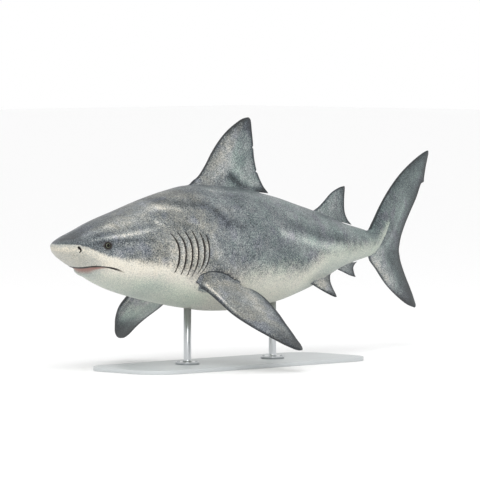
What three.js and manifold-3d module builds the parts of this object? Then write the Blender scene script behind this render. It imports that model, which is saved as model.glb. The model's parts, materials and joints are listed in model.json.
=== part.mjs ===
// Life-size model of a stout, blunt-nosed reef shark (a bull shark), swimming, on a display stand.
// Millimetres, +Z up. The snout points to -X, the tail to +X, and the shark's left side faces -Y.
// The origin is on the floor, under the middle of the stand's base.
//
// Along the body, a place is given by its station s, the share of LENGTH from the snout tip along
// the backbone, by its side distance q, and by its height z over the swimming line, both also as
// shares of LENGTH. The backbone is straight up to the belly fins, and then bends to the right.
import * as THREE from "three";
import { mergeVertices } from "three/addons/utils/BufferGeometryUtils.js";
import Module from "manifold-3d";

const wasm = await Module();
wasm.setup();

// ---------------------------------------------------------------- driving dimensions
const LENGTH = 2400;
const GAP = 0.3;
const SWIMMING_LINE_HEIGHT = 500;
const TAIL_BEND = THREE.MathUtils.degToRad(17);
const BEND_FROM = 0.52;
const BEND_TO = 0.86;
const SNOUT_TIP_Z = 0.003;
const SNOUT_ROUNDING = 0.03;
const BODY_END = 0.87;
const RING_POINTS = 36;

// ---------------------------------------------------------------- colours and finishes
const skin = (hex, roughness) => new THREE.MeshStandardMaterial({ color: hex, roughness, metalness: 0 });
const BACK_GREY = skin(0x6f7a80, 0.55);
const BELLY_CREAM = skin(0xd8d8cc, 0.5);
const FIN_GREY = skin(0x767c7f, 0.55);
const EYE_DARK = skin(0x1b1c16, 0.12);
const BASE_PAINT = skin(0xb9bdbd, 0.45);
const ROD_STEEL = new THREE.MeshStandardMaterial({ color: 0xa9adb0, roughness: 0.3, metalness: 1 });

// ---------------------------------------------------------------- curves
const clamp01 = (value) => Math.min(1, Math.max(0, value));

function smoothstep(from, to, value) {
  const t = clamp01((value - from) / (to - from));
  return t * t * (3 - 2 * t);
}

// A smooth line through [place, value] pairs that never overshoots them (monotone cubic).
function profile(...points) {
  const last = points.length - 1;
  const slopes = [];
  for (let i = 0; i < last; i++) {
    slopes.push((points[i + 1][1] - points[i][1]) / (points[i + 1][0] - points[i][0]));
  }
  const tangents = points.map((_, i) => {
    if (i === 0) return slopes[0];
    if (i === last) return slopes[last - 1];
    if (slopes[i - 1] * slopes[i] <= 0) return 0;
    return (2 * slopes[i - 1] * slopes[i]) / (slopes[i - 1] + slopes[i]);
  });
  return (place) => {
    let i = 0;
    while (i < last - 1 && place > points[i + 1][0]) i++;
    const width = points[i + 1][0] - points[i][0];
    const t = clamp01((place - points[i][0]) / width);
    const rise = points[i + 1][1] - points[i][1];
    const startPull = width * tangents[i];
    const endPull = width * tangents[i + 1];
    const cubic = startPull + endPull - 2 * rise;
    const square = 3 * rise - 2 * startPull - endPull;
    return points[i][1] + t * (startPull + t * (square + t * cubic));
  };
}

// A curve through [a, b] points: u from 0 to 1 is the share of its length.
function margin(...points) {
  const curve = new THREE.CatmullRomCurve3(
    points.map(([a, b]) => new THREE.Vector3(a, b, 0)),
    false,
    "centripetal",
  );
  return (u) => curve.getPointAt(clamp01(u));
}

// A line given by [share, a, b] points: share from 0 to 1 is its place across the fin.
function rootLine(...points) {
  const alongA = profile(...points.map(([share, a]) => [share, a]));
  const alongB = profile(...points.map(([share, , b]) => [share, b]));
  return (share) => new THREE.Vector3(alongA(share), alongB(share), 0);
}

// ---------------------------------------------------------------- backbone
const SPINE_STEPS = 480;
const spineTable = [{ x: 0, y: 0 }];
const bendAngle = (s) => TAIL_BEND * smoothstep(BEND_FROM, BEND_TO, s);
for (let i = 0; i < SPINE_STEPS; i++) {
  const angle = bendAngle((i + 0.5) / SPINE_STEPS);
  const before = spineTable[i];
  const step = LENGTH / SPINE_STEPS;
  spineTable.push({ x: before.x + step * Math.cos(angle), y: before.y + step * Math.sin(angle) });
}

// The point at station s, side distance q (to the shark's left) and height z, offset mm further left.
function place(s, q, z, offset = 0) {
  const at = s * SPINE_STEPS;
  const i = Math.min(SPINE_STEPS - 1, Math.max(0, Math.floor(at)));
  const part = at - i;
  const x = spineTable[i].x + part * (spineTable[i + 1].x - spineTable[i].x);
  const y = spineTable[i].y + part * (spineTable[i + 1].y - spineTable[i].y);
  const angle = bendAngle(s);
  const side = q * LENGTH + offset;
  return new THREE.Vector3(x + side * Math.sin(angle), y - side * Math.cos(angle), z * LENGTH);
}

// ---------------------------------------------------------------- body sections
const topLine = profile(
  [0, 0.0065], [0.012, 0.0108], [0.034, 0.0181], [0.06, 0.0294], [0.1, 0.0436], [0.155, 0.0594],
  [0.21, 0.0754], [0.264, 0.0882], [0.306, 0.0945], [0.36, 0.0925], [0.42, 0.0858], [0.49, 0.0725],
  [0.547, 0.0572],
  [0.592, 0.045], [0.672, 0.0217], [0.726, 0.0105], [0.757, 0.0052], [0.775, 0.01], [0.8, 0.031],
  [0.835, 0.058], [BODY_END, 0.077],
);
const bellyLine = profile(
  [0, -0.0123], [0.015, -0.0145], [0.03, -0.0222], [0.05, -0.0326], [0.058, -0.0365], [0.066, -0.043],
  [0.08, -0.0515], [0.1, -0.061], [0.128, -0.0717], [0.16, -0.081], [0.2, -0.0906], [0.255, -0.102],
  [0.3, -0.1093], [0.34, -0.1145], [0.38, -0.1158], [0.43, -0.1137], [0.492, -0.1063], [0.5425, -0.0948],
  [0.592, -0.08], [0.643, -0.06], [0.675, -0.0515], [0.71, -0.0455], [0.757, -0.0385], [0.775, -0.0325],
  [0.8, -0.014], [0.835, 0.02], [BODY_END, 0.054],
);
const halfWidth = profile(
  [0, 0.022], [0.03, 0.0375], [0.07, 0.0525], [0.11, 0.0635], [0.16, 0.0755], [0.22, 0.0865], [0.28, 0.093],
  [0.36, 0.094], [0.45, 0.086], [0.55, 0.065], [0.65, 0.04], [0.7, 0.0285], [0.757, 0.0172], [0.775, 0.0128],
  [0.8, 0.0083], [0.835, 0.0055], [BODY_END, 0.002],
);
const widestLine = profile(
  [0, 0.003], [0.03, 0.002], [0.07, -0.003], [0.12, -0.008], [0.2, -0.011], [0.3, -0.013], [0.4, -0.015],
  [0.5, -0.017], [0.6, -0.018], [0.757, -0.017], [0.775, -0.0125], [0.8, 0.0075], [0.835, 0.038],
  [BODY_END, 0.065],
);
// How boxy a section is above and below its widest line: 2 is an ellipse, more is squarer.
const upperFullness = profile([0, 2], [0.05, 2.3], [0.15, 2.15], [0.3, 2], [BODY_END, 2]);
const lowerFullness = profile(
  [0, 2.2], [0.045, 2.35], [0.062, 2.05], [0.1, 2.15], [0.16, 2.35], [0.3, 2.2], [0.6, 2], [BODY_END, 2],
);

function section(s) {
  const u = clamp01(s / SNOUT_ROUNDING);
  const round = Math.sqrt(1 - (1 - u) * (1 - u));
  const fromTip = (value) => SNOUT_TIP_Z + (value - SNOUT_TIP_Z) * round;
  const widest = fromTip(widestLine(s));
  return {
    widest,
    width: halfWidth(s) * round,
    above: fromTip(topLine(s)) - widest,
    below: widest - fromTip(bellyLine(s)),
    upper: upperFullness(s),
    lower: lowerFullness(s),
  };
}

// ---------------------------------------------------------------- gills
// Five gill slits a side, each behind a flap that stands proud, and one crease behind the last.
const GILL_STATIONS = [0.198, 0.211, 0.224, 0.236, 0.2485];
const GILL_CREASE = 0.258;
const GILL_MIDDLE_Z = -0.012;
const GILL_HALF_HEIGHT = 0.035;
const GILL_BOW = 0.009;
const BOW_FADES = { inFrom: 0.16, inTo: 0.19, outFrom: 0.262, outTo: 0.3 };
const FIRST_FLAP = 0.022;
const FLAP_RISE = 6;
const gillReach = (z) => (z - GILL_MIDDLE_Z) / GILL_HALF_HEIGHT;
const gillBow = (z) => GILL_BOW * Math.min(1, gillReach(z) ** 2);

function flapRise(station, z) {
  const edges = [GILL_STATIONS[0] - FIRST_FLAP, ...GILL_STATIONS, GILL_CREASE];
  const i = edges.findIndex((edge, k) => k < edges.length - 1 && station >= edge && station < edges[k + 1]);
  if (i < 0) return 0;
  const along = (station - edges[i]) / (edges[i + 1] - edges[i]);
  return FLAP_RISE * along * Math.sqrt(Math.max(0, 1 - gillReach(z) ** 2));
}

// The outline of the section at s, at turn: the angle round it from the left side (90 degrees is the top).
function sectionPoint(s, turn, grow) {
  const { widest, width, above, below, upper, lower } = section(s);
  const across = Math.cos(turn);
  const rise = Math.sin(turn);
  const power = 2 / (rise >= 0 ? upper : lower);
  const height = (rise >= 0 ? above : below) + grow / LENGTH;
  return {
    side: Math.sign(across) * Math.abs(across) ** power,
    out: width * LENGTH + grow,
    z: widest + Math.sign(rise) * Math.abs(rise) ** power * height,
  };
}

// The skin at station s and turn. Near the gills the rings bow forwards above and below, as the slits do.
function skinPoint(s, turn, grow) {
  const fadeIn = smoothstep(BOW_FADES.inFrom, BOW_FADES.inTo, s);
  const fade = fadeIn * (1 - smoothstep(BOW_FADES.outFrom, BOW_FADES.outTo, s));
  const bowed = s - fade * gillBow(sectionPoint(s, turn, grow).z);
  const { side, out, z } = sectionPoint(bowed, turn, grow);
  return place(bowed, 0, z, side * (out + flapRise(s, z)));
}

// The point of the skin at station s and height z, on one side (+1 left, -1 right).
function skinAt(s, z, side) {
  const { widest, width, above, below, upper, lower } = section(s);
  const high = z >= widest;
  const share = Math.min(1, high ? (z - widest) / above : (widest - z) / below);
  const full = high ? upper : lower;
  const q = width * (1 - share ** full) ** (1 / full);
  return place(s, side * q, z);
}

// The same point, with the ways forwards and upwards over the skin and its outward normal.
function skinFrame(s, z, side) {
  const step = 0.002;
  const point = skinAt(s, z, side);
  const forwards = skinAt(s - step, z, side).sub(skinAt(s + step, z, side)).normalize();
  const upwards = skinAt(s, z + step, side).sub(skinAt(s, z - step, side)).normalize();
  const normal = new THREE.Vector3().crossVectors(upwards, forwards).multiplyScalar(side).normalize();
  return { point, forwards, upwards, normal };
}

// ---------------------------------------------------------------- solids
// Joins rings of points into a closed body. Point j and point -j of a ring are mirror images, and so
// are the triangles, so that thin blades stay the same on both faces. The end rings are zipped shut.
function loftRings(rings) {
  const count = rings[0].length;
  const half = count / 2;
  const positions = rings.flat().flatMap((p) => [p.x, p.y, p.z]);
  const triangles = [];
  for (let i = 0; i < rings.length - 1; i++) {
    for (let j = 0; j < count; j++) {
      const a = i * count + j;
      const b = i * count + ((j + 1) % count);
      const c = b + count;
      const d = a + count;
      if (j < half) triangles.push(a, b, c, a, c, d);
      else triangles.push(a, b, d, b, c, d);
    }
  }
  const zip = (start, flip) => {
    for (let j = 0; j < half; j++) {
      const a = start + j;
      const b = start + j + 1;
      const c = start + count - j - 1;
      const d = start + ((count - j) % count);
      const corners = [[a, c, b], [a, d, c]];
      for (const [p, q, r] of corners) {
        if (p === q || q === r || p === r) continue;
        if (flip) triangles.push(p, r, q);
        else triangles.push(p, q, r);
      }
    }
  };
  zip(0, false);
  zip((rings.length - 1) * count, true);
  return solidFrom(new Float32Array(positions), new Uint32Array(triangles));
}

function solidFrom(vertProperties, triVerts) {
  let solid = new wasm.Manifold(new wasm.Mesh({ numProp: 3, vertProperties, triVerts }));
  if (solid.volume() < 0) {
    for (let i = 0; i < triVerts.length; i += 3) {
      [triVerts[i + 1], triVerts[i + 2]] = [triVerts[i + 2], triVerts[i + 1]];
    }
    solid = new wasm.Manifold(new wasm.Mesh({ numProp: 3, vertProperties, triVerts }));
  }
  return solid;
}

function solidOf(geometry, matrix = new THREE.Matrix4()) {
  const bare = geometry.clone().applyMatrix4(matrix);
  bare.deleteAttribute("normal");
  bare.deleteAttribute("uv");
  const merged = mergeVertices(bare, 1e-3);
  return solidFrom(merged.attributes.position.array, new Uint32Array(merged.index.array));
}

// An outline in X and Z, swept across the shark from side to side.
function sweptAcross(outline) {
  const shape = new THREE.Shape(outline.map(([x, z]) => new THREE.Vector2(x, z)));
  const reach = LENGTH / 2;
  const sweep = new THREE.ExtrudeGeometry(shape, { depth: 2 * reach, bevelEnabled: false });
  return solidOf(sweep, new THREE.Matrix4().makeRotationX(Math.PI / 2).setPosition(0, reach, 0));
}

function largestPiece(solid) {
  return solid.decompose().sort((a, b) => b.volume() - a.volume())[0];
}

const group = new THREE.Group();

function addNode(name, solid, material) {
  const mesh = largestPiece(solid).getMesh();
  const positions = new Float32Array(mesh.numVert * 3);
  for (let i = 0; i < mesh.numVert; i++) {
    for (let k = 0; k < 3; k++) positions[3 * i + k] = mesh.vertProperties[mesh.numProp * i + k];
  }
  const geometry = new THREE.BufferGeometry();
  geometry.setAttribute("position", new THREE.BufferAttribute(positions, 3));
  geometry.setIndex(new THREE.BufferAttribute(new Uint32Array(mesh.triVerts), 1));
  geometry.computeVertexNormals();
  const node = new THREE.Mesh(geometry, material);
  node.name = name;
  group.add(node);
}

// ---------------------------------------------------------------- the whole body, from snout to tail root
function steps(from, to, count) {
  return Array.from({ length: count }, (_, i) => from + ((to - from) * i) / count);
}

function bodyStations() {
  const snout = [0.06, 0.28, 0.52, 0.78, 1.04, 1.3].map((a) => SNOUT_ROUNDING * (1 - Math.cos(a)));
  const edge = 0.0008;
  const gills = [...GILL_STATIONS, GILL_CREASE].flatMap((s) => [s - edge, s + edge]);
  return [
    ...snout,
    ...steps(SNOUT_ROUNDING, 0.05, 2),
    ...steps(0.05, 0.09, 4),
    ...steps(0.09, 0.176, 5),
    0.176, 0.187,
    ...gills,
    ...steps(0.27, 0.45, 8),
    ...steps(0.45, 0.745, 11),
    ...steps(0.745, BODY_END, 8),
    BODY_END,
  ];
}

function bodySolid(grow) {
  const rings = bodyStations().map((s) =>
    Array.from({ length: RING_POINTS }, (_, j) =>
      skinPoint(s, Math.PI / 2 - (2 * Math.PI * j) / RING_POINTS, grow)),
  );
  return loftRings(rings);
}

const wholeBody = bodySolid(0);
const bodyWithGap = bodySolid(GAP);

// ---------------------------------------------------------------- mouth
const MOUTH_FRONT = 0.0515;
const MOUTH_CORNER = 0.108;
const MOUTH_PARTS = 12;
const mouthLine = profile(
  [0.03, -0.0345], [MOUTH_FRONT, -0.0338], [0.0535, -0.0323], [0.0557, -0.0317], [0.0627, -0.0313],
  [0.0722, -0.0317], [0.0806, -0.0328], [0.0884, -0.0346], [0.0967, -0.0372], [MOUTH_CORNER, -0.0415],
);
const JAW_REAR = [[0.122, -0.057], [0.132, -0.078], [0.136, -0.1]];
const JAW_REGION_FRONT = 0.028;
const JAW_REGION_BOTTOM = -0.1;
const MOUTH_GROOVE = { radius: 3, drop: 0, inset: 0, from: 90 };
const LOWER_LIP = { radius: 8, drop: 8, inset: 5.5, from: 78 };

// The space that the lower jaw fills: its side outline, with the mouth line above, swept across the head.
function jawRegion(grow) {
  const outline = [
    [JAW_REGION_FRONT, mouthLine(JAW_REGION_FRONT)],
    ...steps(0.048, MOUTH_CORNER, MOUTH_PARTS).map((s) => [s, mouthLine(s)]),
    [MOUTH_CORNER, mouthLine(MOUTH_CORNER)],
    ...JAW_REAR,
    [JAW_REGION_FRONT, JAW_REGION_BOTTOM],
  ];
  return sweptAcross(outline.map(([s, z]) => [s * LENGTH + grow, z * LENGTH + grow]));
}

// A point on the skin along the mouth: turn runs from -90 degrees at one corner, past 0 in front, to 90.
// drop moves it away from the mouth, back and down over the jaw, and inset moves it under the skin (mm).
function mouthPoint(turn, { drop, inset }) {
  const ahead = Math.cos(turn);
  const back = drop / LENGTH;
  const onLine = MOUTH_CORNER - (MOUTH_CORNER - MOUTH_FRONT) * ahead;
  const s = onLine + back * ahead;
  const z = Math.max(mouthLine(onLine) - back * (1 - ahead), bellyLine(s));
  const point = skinAt(s, z, Math.sign(turn));
  const insideJaw = place(s + 0.01, 0, z + 0.02);
  return point.addScaledVector(insideJaw.sub(point).normalize(), inset);
}

// A roll of the given radius that follows the mouth round the front of the jaw, corner to corner.
function mouthRoll(roll) {
  const turns = steps(-roll.from, roll.from, 2 * MOUTH_PARTS).concat(roll.from).map(THREE.MathUtils.degToRad);
  const path = new THREE.CatmullRomCurve3(turns.map((turn) => mouthPoint(turn, roll)), false, "centripetal");
  const ring = new THREE.Shape();
  ring.absarc(0, 0, roll.radius, 0, 2 * Math.PI, false);
  const tube = new THREE.ExtrudeGeometry(ring, {
    steps: 2 * MOUTH_PARTS - 2,
    curveSegments: 4,
    extrudePath: path,
    bevelEnabled: false,
  });
  return solidOf(tube);
}

const mouthGroove = mouthRoll(MOUTH_GROOVE);
const lowerLip = mouthRoll(LOWER_LIP);

// ---------------------------------------------------------------- eyes
const EYE = { station: 0.0699, z: 0.004, radius: 14, sunk: 8 };
const LIDS = { radius: 12.6, tube: 3.4, long: 1.12, high: 0.95, proud: 0.9 };

function eyeBall(side, grow) {
  const { point, normal } = skinFrame(EYE.station, EYE.z, side);
  const centre = point.clone().addScaledVector(normal, -EYE.sunk);
  const ball = new THREE.SphereGeometry(EYE.radius + grow, 16, 10);
  return solidOf(ball, new THREE.Matrix4().setPosition(centre));
}

// The lids: a low ring of skin round the eye, longer fore and aft than it is high.
function eyeLids(side) {
  const { point, forwards, normal } = skinFrame(EYE.station, EYE.z, side);
  const upwards = new THREE.Vector3().crossVectors(forwards, normal);
  const frame = new THREE.Matrix4().makeBasis(forwards, upwards, normal).setPosition(point);
  const ring = new THREE.TorusGeometry(LIDS.radius, LIDS.tube, 6, 18);
  ring.scale(LIDS.long, LIDS.high, LIDS.proud);
  return solidOf(ring, frame);
}

// ---------------------------------------------------------------- nostrils
const NOSTRIL = { station: 0.0258, z: -0.003, long: 10, wide: 4, deep: 12, lean: 0.45 };
const NOSTRIL_FLAP = { ahead: 6, long: 8, wide: 6, proud: 2.5 };

function nostrilFrame(side) {
  const { point, forwards, upwards, normal } = skinFrame(NOSTRIL.station, NOSTRIL.z, side);
  const along = upwards.clone().addScaledVector(forwards, NOSTRIL.lean).normalize();
  const across = new THREE.Vector3().crossVectors(normal, along).normalize();
  return { point, along, across, normal, forwards };
}

function nostrilHole(side) {
  const { point, along, across, normal } = nostrilFrame(side);
  const frame = new THREE.Matrix4().makeBasis(along, across, normal).setPosition(point);
  const hole = new THREE.SphereGeometry(1, 12, 8);
  hole.scale(NOSTRIL.long, NOSTRIL.wide, NOSTRIL.deep);
  return solidOf(hole, frame);
}

function nostrilFlap(side) {
  const { point, along, across, normal, forwards } = nostrilFrame(side);
  const centre = point.clone().addScaledVector(forwards, NOSTRIL_FLAP.ahead);
  const frame = new THREE.Matrix4().makeBasis(along, across, normal).setPosition(centre);
  const flap = new THREE.SphereGeometry(1, 10, 6);
  flap.scale(NOSTRIL_FLAP.long, NOSTRIL_FLAP.wide, NOSTRIL_FLAP.proud);
  return solidOf(flap, frame);
}

// ---------------------------------------------------------------- gill slits
// A thin curved blade that cuts inwards and forwards under the flap's edge, deepest at mid height.
const SLIT = { depth: 13, width: 4 };
const CREASE = { depth: 4, width: 3 };
const SLIT_REACH = 0.97;
const SLIT_PARTS = 6;

function gillBlade(station, side, { depth, width }) {
  const outside = 14;
  const rings = Array.from({ length: SLIT_PARTS + 1 }, (_, i) => {
    const reach = SLIT_REACH * ((2 * i) / SLIT_PARTS - 1);
    const z = GILL_MIDDLE_Z + reach * GILL_HALF_HEIGHT;
    const { point, forwards, normal } = skinFrame(station - gillBow(z), z, side);
    const inside = 1 + depth * Math.sqrt(1 - reach * reach);
    const half = width / 2;
    const lean = inside / 2;
    const at = (out, ahead) => point.clone().addScaledVector(normal, out).addScaledVector(forwards, ahead);
    return [at(outside, half), at(outside, -half), at(-inside, lean), at(-inside, lean + half)];
  });
  return loftRings(rings);
}

// ---------------------------------------------------------------- fins
const BLADE_COLUMNS = [0, 0.035, 0.1, 0.2, 0.32, 0.45, 0.58, 0.7, 0.78, 0.88, 1];
const DEEP = 0.7;
const FREE = 0.78;
const EDGE_HALF = 1.3;
const FILLET_REACH = 40;
const FILLET_FADE_FROM = 0.4;
const SPANS_PACKED = 0.9;

// Half thickness along a blade from its rounded front edge to its thin rear edge, 1 at its thickest.
function bladeSwell(c) {
  const fourth = 0.2969 * Math.sqrt(c) - 0.126 * c - 0.3516 * c ** 2 + 0.2843 * c ** 3 - 0.1036 * c ** 4;
  return fourth / 0.1;
}

// A fin between a leading and a trailing margin, from its root line to its tip. The root line runs inside
// the body up to its share DEEP, and from its share FREE on it is the edge of the free rear lobe.
//   spread(a, b, out) gives the point at a, b of the fin's own plane, out mm to one face.
//   overSkin(a, b) gives how far that place stands over the skin, for the swelling at the root.
function finSolid({ leading, trailing, root, spans, thick, spread, overSkin, swell }) {
  const rings = Array.from({ length: spans + 1 }, (_, i) => {
    const t = (i / spans) ** SPANS_PACKED;
    const front = leading(t);
    const rear = trailing(t);
    const points = BLADE_COLUMNS.map((c) => {
      const lift = root(c).sub(leading(0).lerp(trailing(0), c)).multiplyScalar((1 - t) ** 2);
      const at = front.clone().lerp(rear, c).add(lift);
      const near = clamp01(1 - overSkin(at.x, at.y) / FILLET_REACH) ** 2;
      const fillet = swell * near * Math.sqrt(4 * c * (1 - c)) * (1 - smoothstep(FILLET_FADE_FROM, DEEP, c));
      const onEdge = c === 0 || c === 1;
      return { at, half: onEdge ? 0 : Math.max(EDGE_HALF, thick(t) * bladeSwell(c)) + fillet };
    });
    const left = points.map(({ at, half }) => spread(at.x, at.y, half));
    const right = points.map(({ at, half }) => spread(at.x, at.y, -half)).slice(1, -1).reverse();
    return [...left, ...right];
  });
  return loftRings(rings);
}

const upright = (s, z, out) => place(s, 0, z, out);

// First dorsal fin: tall, broad and upright, with a rounded tip and a free rear lobe just over the back.
const firstDorsal = finSolid({
  leading: margin(
    [0.292, 0.076], [0.3045, 0.0965], [0.3244, 0.1085], [0.3407, 0.1264], [0.3554, 0.1469], [0.372, 0.1658],
    [0.3908, 0.182], [0.412, 0.195], [0.4288, 0.2027], [0.44, 0.2048],
  ),
  trailing: margin(
    [0.4904, 0.0768], [0.4765, 0.091], [0.463, 0.1151], [0.4555, 0.14], [0.4525, 0.165], [0.451, 0.1796],
    [0.449, 0.2], [0.4455, 0.2044],
  ),
  root: rootLine(
    [0, 0.292, 0.076], [0.3, 0.35, 0.06], [DEEP, 0.428, 0.066], [FREE, 0.4385, 0.0855], [1, 0.4904, 0.0768],
  ),
  spans: 12,
  thick: profile([0, 22], [0.35, 15], [0.8, 8], [1, 4]),
  spread: upright,
  overSkin: (s, z) => (z - topLine(s)) * LENGTH,
  swell: 8,
});

// Second dorsal fin: a small copy, over the anal fin.
const secondDorsal = finSolid({
  leading: margin(
    [0.59, 0.03], [0.5985, 0.0445], [0.611, 0.0492], [0.6252, 0.0583], [0.6467, 0.0734], [0.6689, 0.0817],
    [0.679, 0.0834], [0.683, 0.0838],
  ),
  trailing: margin(
    [0.7056, 0.0166], [0.6926, 0.027], [0.6845, 0.041], [0.6825, 0.0607], [0.6845, 0.074], [0.6855, 0.08],
    [0.685, 0.083],
  ),
  root: rootLine(
    [0, 0.59, 0.03], [0.3, 0.62, 0.018], [DEEP, 0.66, 0.01], [FREE, 0.6715, 0.0243], [1, 0.7056, 0.0166],
  ),
  spans: 10,
  thick: profile([0, 12], [0.5, 8], [1, 3]),
  spread: upright,
  overSkin: (s, z) => (z - topLine(s)) * LENGTH,
  swell: 5,
});

// Anal fin: under the second dorsal, with a deep notch in its rear edge.
const analFin = finSolid({
  leading: margin([0.646, -0.042], [0.655, -0.0545], [0.6792, -0.0628], [0.6997, -0.0696], [0.7165, -0.0732]),
  trailing: margin([0.723, -0.047], [0.7155, -0.051], [0.7105, -0.0575], [0.7135, -0.067], [0.718, -0.0722]),
  root: rootLine(
    [0, 0.646, -0.042], [0.3, 0.67, -0.035], [DEEP, 0.695, -0.034], [FREE, 0.7045, -0.0485],
    [1, 0.723, -0.047],
  ),
  spans: 8,
  thick: profile([0, 10], [0.5, 7], [1, 3]),
  spread: upright,
  overSkin: (s, z) => (bellyLine(s) - z) * LENGTH,
  swell: 4,
});

// Tail fin: the long upper lobe carries the end of the backbone, and both lobes meet on a line to the fork.
const FORK = [0.8744, -0.0313];
const TAIL_ROOT = [0.766, -0.018];
const LOBE_OVERLAP = 0.004;
const lobeRoot = (shift) => rootLine([0, TAIL_ROOT[0], TAIL_ROOT[1] + shift], [1, FORK[0], FORK[1] + shift]);
const farFromSkin = () => LENGTH;
const upperLobe = finSolid({
  leading: margin(
    [TAIL_ROOT[0], TAIL_ROOT[1] - LOBE_OVERLAP], [0.7585, 0.002], [0.7787, 0.0241], [0.7994, 0.0452],
    [0.8301, 0.07], [0.8704, 0.0949], [0.916, 0.1156], [0.962, 0.1315], [0.984, 0.1368], [0.989, 0.1372],
  ),
  trailing: margin(
    [FORK[0], FORK[1] - LOBE_OVERLAP], [0.88, -0.0155], [0.8955, 0.0065], [0.9195, 0.0315], [0.942, 0.055],
    [0.9605, 0.0796], [0.966, 0.0812], [0.9715, 0.0826], [0.9725, 0.088], [0.98, 0.106], [0.9935, 0.1325],
    [0.993, 0.136],
  ),
  root: lobeRoot(-LOBE_OVERLAP),
  spans: 17,
  thick: profile([0, 16], [0.12, 16], [0.4, 12], [1, 3.5]),
  spread: upright,
  overSkin: farFromSkin,
  swell: 0,
});
const lowerLobe = finSolid({
  leading: margin(
    [TAIL_ROOT[0], TAIL_ROOT[1] + LOBE_OVERLAP], [0.7585, -0.039], [0.786, -0.0628], [0.82, -0.0888],
    [0.8605, -0.1108], [0.907, -0.13], [0.9365, -0.137],
  ),
  trailing: margin(
    [FORK[0], FORK[1] + LOBE_OVERLAP], [0.8785, -0.0475], [0.8945, -0.0721], [0.9175, -0.1013],
    [0.9335, -0.1201], [0.9428, -0.1327], [0.942, -0.1362],
  ),
  root: lobeRoot(LOBE_OVERLAP),
  spans: 14,
  thick: profile([0, 15], [0.15, 14], [0.5, 10], [1, 3.5]),
  spread: upright,
  overSkin: farFromSkin,
  swell: 0,
});

// Paired fins lie in planes that slope down and outwards through the point q, z low on the body, and
// leave the skin at skinQ. sweep leans a fin back, by that share of its reach.
function slopingPlane(side, { q: rootQ, z: rootZ, slope }, sweep) {
  const fall = Math.atan(slope);
  return (s, q, out) => {
    const z = rootZ - slope * (q - rootQ) + (out * Math.cos(fall)) / LENGTH;
    return place(s + sweep * Math.max(0, q - rootQ), side * (q + (out * Math.sin(fall)) / LENGTH), z);
  };
}

const alongSlope = ({ skinQ, slope }) => (s, q) => ((q - skinQ) * LENGTH) / Math.cos(Math.atan(slope));

const PECTORAL = { q: 0.08, z: -0.07, slope: 0.734, skinQ: 0.076 };
const PECTORAL_SWEEP = { left: 0, right: 0.05 };
const pectoralFin = (name, side) => finSolid({
  leading: margin(
    [0.245, 0.035], [0.2485, 0.066], [0.259, 0.083], [0.265, 0.107], [0.27, 0.135], [0.2855, 0.1618],
    [0.3035, 0.1836], [0.3222, 0.2035], [0.3375, 0.2142], [0.347, 0.216],
  ),
  trailing: margin(
    [0.3745, 0.09], [0.3737, 0.112], [0.3728, 0.138], [0.3655, 0.167], [0.359, 0.196], [0.357, 0.207],
    [0.353, 0.2155],
  ),
  root: rootLine(
    [0, 0.245, 0.035], [0.3, 0.28, 0.035], [DEEP, 0.327, 0.045], [FREE, 0.338, 0.084], [1, 0.3745, 0.09],
  ),
  spans: 13,
  thick: profile([0, 26], [0.3, 19], [0.7, 10], [1, 4]),
  spread: slopingPlane(side, PECTORAL, PECTORAL_SWEEP[name]),
  overSkin: alongSlope(PECTORAL),
  swell: 6,
});

const PELVIC = { q: 0.035, z: -0.068, slope: 1, skinQ: 0.04 };
const pelvicFin = (side) => finSolid({
  leading: margin(
    [0.543, 0.018], [0.5485, 0.042], [0.5575, 0.05], [0.569, 0.0585], [0.58, 0.0648], [0.585, 0.066],
  ),
  trailing: margin(
    [0.6135, 0.0285], [0.606, 0.0335], [0.5965, 0.042], [0.5905, 0.0535], [0.5885, 0.062], [0.5868, 0.0658],
  ),
  root: rootLine(
    [0, 0.543, 0.018], [0.3, 0.565, 0.01], [DEEP, 0.592, 0.008], [FREE, 0.5985, 0.0265], [1, 0.6135, 0.0285],
  ),
  spans: 9,
  thick: profile([0, 10], [0.5, 7], [1, 3]),
  spread: slopingPlane(side, PELVIC, 0),
  overSkin: alongSlope(PELVIC),
  swell: 3,
});

// ---------------------------------------------------------------- dividing the body
const CUTS = { gillFront: 0.165, gillRear: 0.265, trunkMiddle: 0.44, tailStock: 0.64, tailFin: 0.756 };

// The space between two stations, less half a gap at each; null is an end with no cut.
function between(from, to) {
  const low = from === null ? -LENGTH : place(from, 0, 0).x + GAP / 2;
  const high = to === null ? 2 * LENGTH : place(to, 0, 0).x - GAP / 2;
  const slab = new THREE.BoxGeometry(high - low, LENGTH, LENGTH);
  return solidOf(slab, new THREE.Matrix4().setPosition((low + high) / 2, 0, 0));
}

// The space above (way 1) or below (way -1) the line that parts the two lobes of the tail fin.
function lobeRegion(way) {
  const front = place(TAIL_ROOT[0], 0, TAIL_ROOT[1]);
  const rear = place(FORK[0], 0, FORK[1]);
  const [from, to] = [front.clone().lerp(rear, -2), front.clone().lerp(rear, 4)];
  const shift = (way * GAP) / 2;
  const far = (way * LENGTH) / 2;
  return sweptAcross([[from.x, from.z + shift], [to.x, to.z + shift], [to.x, far], [from.x, far]]);
}

const sides = [["left", 1], ["right", -1]];

let head = wholeBody.intersect(between(null, CUTS.gillFront));
let jaw = head.intersect(jawRegion(0)).add(lowerLip.intersect(jawRegion(0)));
head = head.subtract(jawRegion(GAP));
for (const [, side] of sides) {
  head = head.add(eyeLids(side)).add(nostrilFlap(side));
  head = head.subtract(eyeBall(side, GAP)).subtract(nostrilHole(side));
}
head = head.subtract(mouthGroove);
jaw = jaw.subtract(mouthGroove);
addNode("head", head, BACK_GREY);
addNode("lower_jaw", jaw, BELLY_CREAM);
for (const [name, side] of sides) addNode(`eye_${name}`, eyeBall(side, 0), EYE_DARK);

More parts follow.
